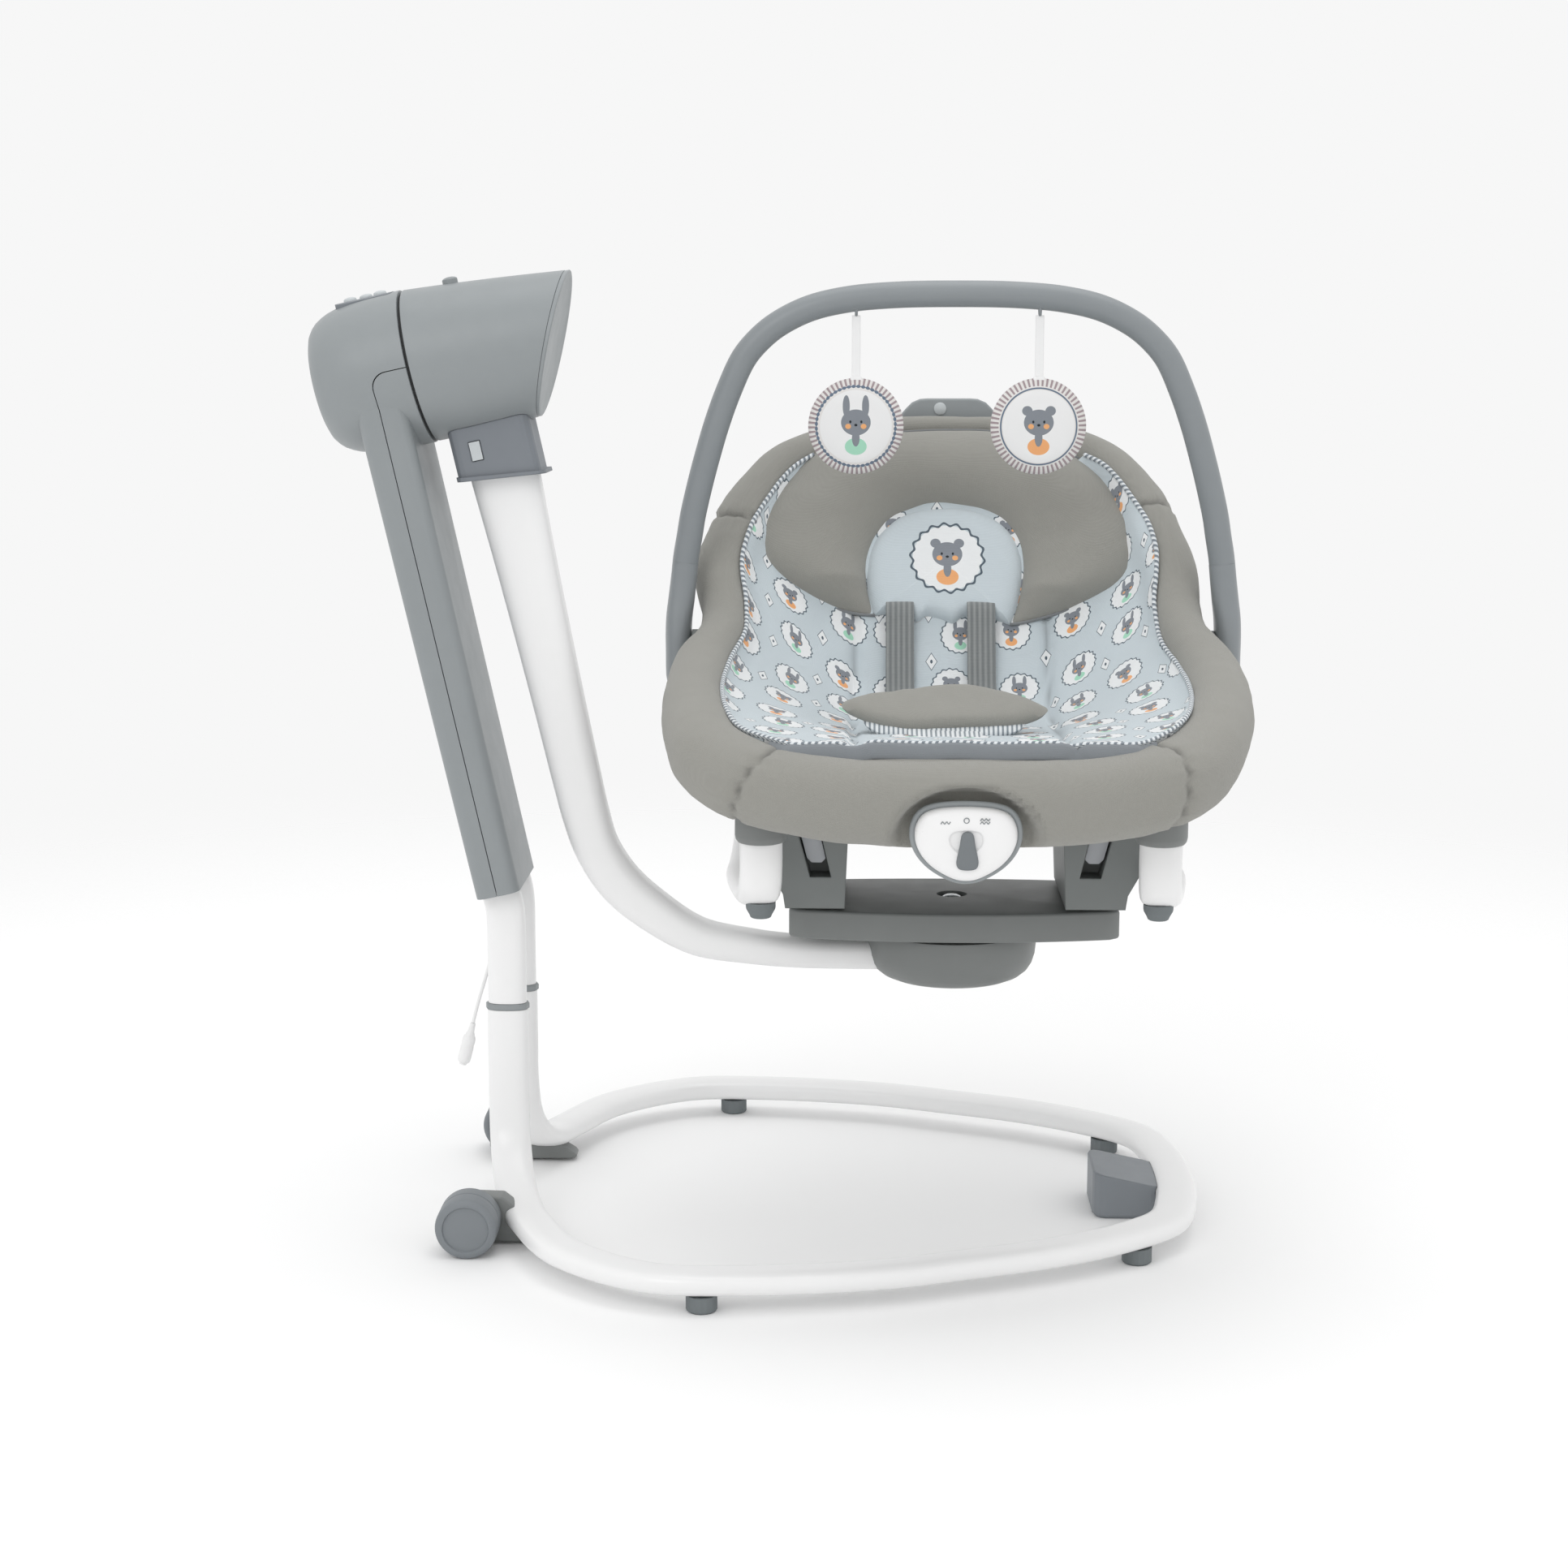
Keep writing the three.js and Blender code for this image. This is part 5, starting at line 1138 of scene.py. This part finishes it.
def buildHarness():
    webbing = stripedWebbing()
    for hand, x in zip(("left", "right"), harness["x"]):
        line = strapLine(x)
        run = runAlong(line) * 0.001
        section = oval(harness["wide"] / 2, harness["thick"] / 2, 24, 5)
        rings = sweep(line, section, lambda p, t: (0, -t[2], t[1]))
        points, faces = loft(rings)
        flat = np.array([(r, c[0] * 0.001, 0) for r in run for c in section])
        crossing(piece(f"strap{hand.title()}", points, faces, webbing, None, "webbing",
                       [f"shoulder_strap_{hand}"], 60, {"flat": flat}))
        middle = 37 if hand == "left" else 33
        p, t = line[middle], directions(line)[middle]
        lift = np.cross(t, (-1, 0, 0))
        lift /= np.linalg.norm(lift)
        lift = lift if lift[2] > 0 or lift[1] < 0 else -lift
        axes = [(x, t[k], lift[k], p[k]) for k, x in enumerate((1, 0, 0))]
        basis = Matrix((*axes, (0, 0, 0, 1)))
        bars = []
        for offset in (-7.5, 0.5, 8):
            bars.append(slab(roundBox(18, 1.9, 1.6, 4, (0, offset)), 0.4, 3.8, 0.7, basis))
        for edge in (-16.6, 16.6):
            bars.append(slab(roundBox(1.9, 9.4, 1.6, 4, (edge, 0.3)), 0.2, 3.6, 0.7, basis))
        plastic = moulded(f"adjusterPlastic{hand}", "#8c9091", 0.4)
        crossing(piece(f"adjuster{hand.title()}", *together(*bars), plastic, None, "webbing"))
    buildFlap()


def stripedLining():
    look = Finish("stripedLining", Roughness=0.88, Sheen_Weight=0.2)
    stripe = (look.flat().axis(0) * (2 * math.pi / 0.0042)).math("SINE") > 0.25
    look.feed("Base Color", look.mix(stripe, linear("#e6eaec"), linear("#8b949b")))
    look.bump(weaveOf(look, 0.0009), 0.0002, 0.5)
    return look.material


def lens(halfWide, halfDeep, crown, centre, tilt, wave=0.0, rings=16, around=96, thin=4.0):
    points, flats = [], []
    turn = Matrix.Rotation(math.radians(tilt), 3, "X")
    for k in range(rings + 1):
        r = math.sin(math.pi / 2 * k / rings)
        for j in range(around):
            a = 2 * math.pi * j / around
            reach = 1 - r * 0.97
            x = halfWide * math.cos(a) * reach
            y = halfDeep * math.sin(a) * (0.72 + 0.28 * abs(math.sin(a))) * reach
            z = crown * (1 - reach ** 6) ** 0.5 + wave * math.sin(x * 0.055 + 0.6) * (0.4 + 0.6 * reach)
            p = np.array(turn @ Vector((x, y, z)))
            points.append(np.array(centre) + p + np.array((0, 0, wobble(p + x, 25, 0.8, 4))))
            flats.append((x * 0.001, y * 0.001, 0))
    faces = gridFaces(rings + 1, around)
    faces.append([rings * around + k for k in range(around)])
    start = len(points)
    for j in range(around):
        a = 2 * math.pi * j / around
        x = halfWide * 0.97 * math.cos(a)
        y = halfDeep * 0.97 * math.sin(a) * (0.72 + 0.28 * abs(math.sin(a)))
        p = np.array(turn @ Vector((x, y, -thin + wave * math.sin(x * 0.055 + 0.6))))
        points.append(np.array(centre) + p)
        flats.append((x * 0.001, y * 0.001, 0))
    faces += [[j, (j + 1) % around, start + (j + 1) % around, start + j] for j in range(around)]
    faces.append([start + k for k in range(around)][::-1])
    return np.array(points), faces, np.array(flats)


def buildFlap():
    points, faces, flats = lens(92, 31, 8, (-11.5, -92, 490), 26, 2.4)
    top = piece("crotchFlap", points, faces, coverCloth, "seat_base", "cover_cloth", ["crotch_pad"], 70,
                {"seam": np.zeros(len(points))})
    points, faces, flats = lens(72, 26, 4, (-12, -104, 479), 30, 1.6)
    under = piece("flapLining", points, faces, stripedLining(), "seat_base", "liner_cloth", (), 70,
                  {"flat": flats})
    tongue = smoothLine([(-12, -96, 476), (-12, -112, 474), (-12, -128, 470.5), (-12, -142, 469)], 24)
    points, faces = loft(sweep(tongue, oval(33, 2.2, 28, 4), lambda p, t: (0, -t[2], t[1])))
    run = np.array([(p[0] * 0.001, p[1] * 0.001, 0) for p in points])
    piece("flapTongue", points, faces, stripedLining(), "seat_base", "liner_cloth", (), 70, {"flat": run})


buildHarness()
print("harness done")

# vibration unit
# half of the unit's outline in X, Z, the crown of its face as share of the outline and Y, and its knob
unit = {"outline": [(8, 379), (20, 384.4), (30, 391.6), (37, 400), (41, 409), (42, 416), (41.2, 423),
                    (38, 430), (33, 434.6), (24, 437.6), (12, 439)],
        "face": [(0.98, -297), (1.0, -299), (1.0, -309), (0.985, -312), (0.94, -314.4), (0.86, -316),
                 (0.7, -317.2), (0.50, -317.8), (0.36, -318), (0.33, -317.6), (0.315, -316.6), (0.30, -316.2),
                 (0.1, -316.1)],
        "knob": [(-4.6, 13.4), (-2.6, 15.2), (2.6, 15.2), (4.6, 13.4), (6.4, 4), (8.6, -6), (9, -11),
                 (7.4, -14.6), (4, -15.9), (-4, -15.9), (-7.4, -14.6), (-9, -11), (-8.6, -6), (-6.4, 4)],
        "centre": np.array((0, 0, 412.0))}


def buildUnit():
    half = [(x, 0, z) for x, z in unit["outline"]]
    whole = smoothLine([(0, 0, 378)] + half + [(0, 0, 439.4)] + mirrored(half[::-1], -1), 120, True)
    centre = unit["centre"]
    rings = []
    for reach, y in unit["face"]:
        ring = centre + (whole - centre) * reach
        ring[:, 1] = y
        rings.append(ring)
    piece("unitShell", *loft(rings), shellPlastic, "seat_base", "white_shell", ["vibration_unit"], 55)
    band = centre + (whole - centre) * 1.045 + np.array((0, -306, 0.8))
    points, faces = loft(sweep(band, oval(2.6, 2.2, 16), lambda p, t: (0, 1, 0), True), True)
    piece("unitRim", points, faces, headPlastic, "seat_base", "cool_grey", (), 60)
    marks = []
    for x, kind in ((-17, "wave"), (0, "ring"), (15, "waves")):
        for row in range(2 if kind == "waves" else 1):
            if kind == "ring":
                a = np.linspace(0, 2 * np.pi, 25)[:-1]
                line, closed = np.stack([2.1 * np.cos(a), np.full(24, 0.0), 2.1 * np.sin(a)], 1), True
            else:
                t = np.linspace(-4, 4, 30)
                line, closed = np.stack([t, np.zeros(30), 0.9 * np.sin(t * 1.9) + row * 2.6 - 0.6], 1), False
            line = line + np.array((x, -317.5, 429.5 - abs(x) * 0.08))
            marks.append(loft(sweep(line, oval(0.45, 0.45, 8), lambda p, t: (0, 1, 0), closed), closed))
    piece("unitMarks", *together(*marks), headPlastic, "seat_base", "cool_grey", (), 60)
    rings = []
    steps = ((1.0, -315.6), (1.0, -318.2), (0.97, -319.6), (0.88, -320.6), (0.7, -321), (0.3, -321.1))
    for reach, y in steps:
        high = 1 - (1 - reach) * 0.6
        rings.append(np.array([(1 + x * reach, y, 404.5 + z * high) for x, z in unit["knob"]]))
    dense = [smoothLine(r, 56, True) for r in rings]
    piece("unitKnob", *loft(dense), knobRubber, "vibration_knob", "dark_grey", ["vibration_knob"], 50)


buildUnit()
print("unit done")

# recline handle
reclineGrip = [(-52, 720), (54, 720), (54, 733), (50, 738), (44, 745), (38, 751), (30, 754.4), (22, 755),
               (-20, 755), (-28, 754.4), (-36, 751), (-42, 745), (-48, 738), (-52, 733)]


def buildReclineHandle():
    grip = slab(reclineGrip, 247, 262, 2.4, alongY)
    piece("reclineGrip", *grip, headPlastic, "recline_handle", "dark_grey", ["recline_handle"], 32)
    spot = shifted(-8, 247.4, 745, Matrix.Rotation(math.pi / 2, 4, "X"))
    knob = turned([(0, 0), (6.2, 0), (6.2, 1.4), (5.2, 2.2), (0, 2.4)], spot, 40)
    piece("reclineButton", *knob, buttonPlastic, "recline_handle", "pale_button", (), 40)


buildReclineHandle()

# toys
toys = {"left": {"x": handle["toys"][0], "longEars": True, "radius": 44.5, "fringe": 0.0378},
        "right": {"x": handle["toys"][1], "longEars": False, "radius": 44.5, "fringe": 0.0372}}
# the disc's section from its middle round the sewn edge: share of the radius, share of the half depth
toyDisc = [(0.05, 1), (0.6, 0.98), (0.8, 0.86), (0.86, 0.66), (0.93, 0.5), (1.0, 0.12)]


def toyFace(name, longEars, fringe):
    look = cloth(name, "#ebe8e6", 0.0008, 0.03, 0.7, marks=False)
    colour = look.present("Base Color")
    x, y = look.flat().axis(0), look.flat().axis(1)
    radius = (x * x + y * y).math("SQRT")
    angle = y.math("ARCTAN2", x)
    stripes = ((angle * 60).math("SINE") > 0.15) * (radius > fringe)
    colour = look.mix(stripes, colour, linear("#a6979a"))
    band = (radius < 0.0360) - (radius < 0.0345)
    if longEars:  # a chain of small links
        link = ((angle * 26).math("SINE") * 0.0011).math("ABSOLUTE")
        band = (radius < link + 0.0372) - (radius < 0.0365 - link)
    colour = look.mix(band, colour, linear("#6d7c8e"))
    colour = look.mix(radius < 0.0335, colour, linear("#f1f1f1"))
    look.feed("Base Color", animal(look, colour, x / 0.030, y / 0.030, float(longEars)))
    return look.material


def buildToys():
    for hand, t in toys.items():
        centre = np.array((t["x"], 60.0, 734.0))
        a = 2 * np.pi * np.arange(120) / 120
        rings, flats = [], []
        for reach, y in toyDisc + [(reach, -y) for reach, y in reversed(toyDisc)]:
            frill = t["radius"] * reach * (1 + 0.012 * np.sin(a * 60) * (reach > 0.9))
            ring = np.stack([frill * np.cos(a), np.full(len(a), -7.5 * y), frill * np.sin(a)], 1)
            flats.append(np.stack([ring[:, 0], ring[:, 2], ring[:, 1] * 0], 1) * 0.001)
            rings.append(ring + centre)
        points, faces = loft(rings)
        finish = toyFace(f"toyFelt{hand.title()}", t["longEars"], t["fringe"])
        toy = piece(f"toy{hand.title()}", points, faces, finish, f"toy_{hand}", "toy_cloth", [f"toy_{hand}"],
                    60, {"flat": np.concatenate(flats)})
        line = smoothLine([(t["x"], 60, z) for z in (776, 800, 822, 836)], 20)
        strap = loft(sweep(line, oval(4, 0.9, 20, 4), lambda p, d: (0, 1, 0)))
        ends = slab(roundBox(5.4, 4, 1.5, 3, (t["x"], 776)), 57.6, 62.4, 0.8, alongY)
        both = together(strap, ends)
        piece(f"toyStrap{hand.title()}", *both, cordJacket, f"toy_{hand}", "toy_cloth", (), 60)


buildToys()
print("toys done")


# light and floor
stage = {"paper": "#fafafa", "room": "#f7f7f7", "key": 15, "overhead": 17, "reach": (1.1, 2.6), "size": 3.0}


def buildStage():
    world = bpy.data.worlds.new("room")
    bpy.context.scene.world = world
    world.use_nodes = True
    world.node_tree.nodes["Background"].inputs[0].default_value = (*linear(stage["room"]), 1)
    world.node_tree.nodes["Background"].inputs[1].default_value = 1.0
    mesh = bpy.data.meshes.new("floor")
    corners = [(stage["size"] * x, stage["size"] * y, 0) for x, y in ((-1, -1), (1, -1), (1, 1), (-1, 1))]
    mesh.from_pydata(corners, [], [(0, 1, 2, 3)])
    floor = bpy.data.objects.new("floor", mesh)
    bpy.context.scene.collection.objects.link(floor)
    paper = Finish("floorPaper", Roughness=0.95, Specular_IOR_Level=0.05)
    colour = linear(stage["paper"])
    paper.feed("Base Color", paper.mix(paper.noise(3, 2) * 0.2, colour, shade(colour, 0.995)))
    near, far = stage["reach"]
    distance = paper.add("ShaderNodeVectorMath", {"operation": "LENGTH"}, {0: paper.here()}, 1)
    fade = paper.add("ShaderNodeMapRange", {"interpolation_type": "SMOOTHSTEP"}, {
        "Value": distance, "From Min": near, "From Max": far, "To Min": 1.0, "To Max": 0.0})
    paper.feed("Alpha", fade)
    mesh.materials.append(paper.material)
    lamps = (("key", (-1.3, -2.6, 2.4), (0, 0, 0.45), 1.6), ("overhead", (0.3, 0.2, 3.0), (0, 0, 0), 2.0))
    for name, spot, aim, width in lamps:
        lamp = bpy.data.objects.new(name, bpy.data.lights.new(name, "AREA"))
        lamp.data.energy = stage[name]
        lamp.data.size = width
        lamp.location = spot
        lamp.rotation_euler = (Vector(aim) - Vector(spot)).to_track_quat("-Z", "Y").to_euler()
        bpy.context.scene.collection.objects.link(lamp)


buildStage()
print("scene done")
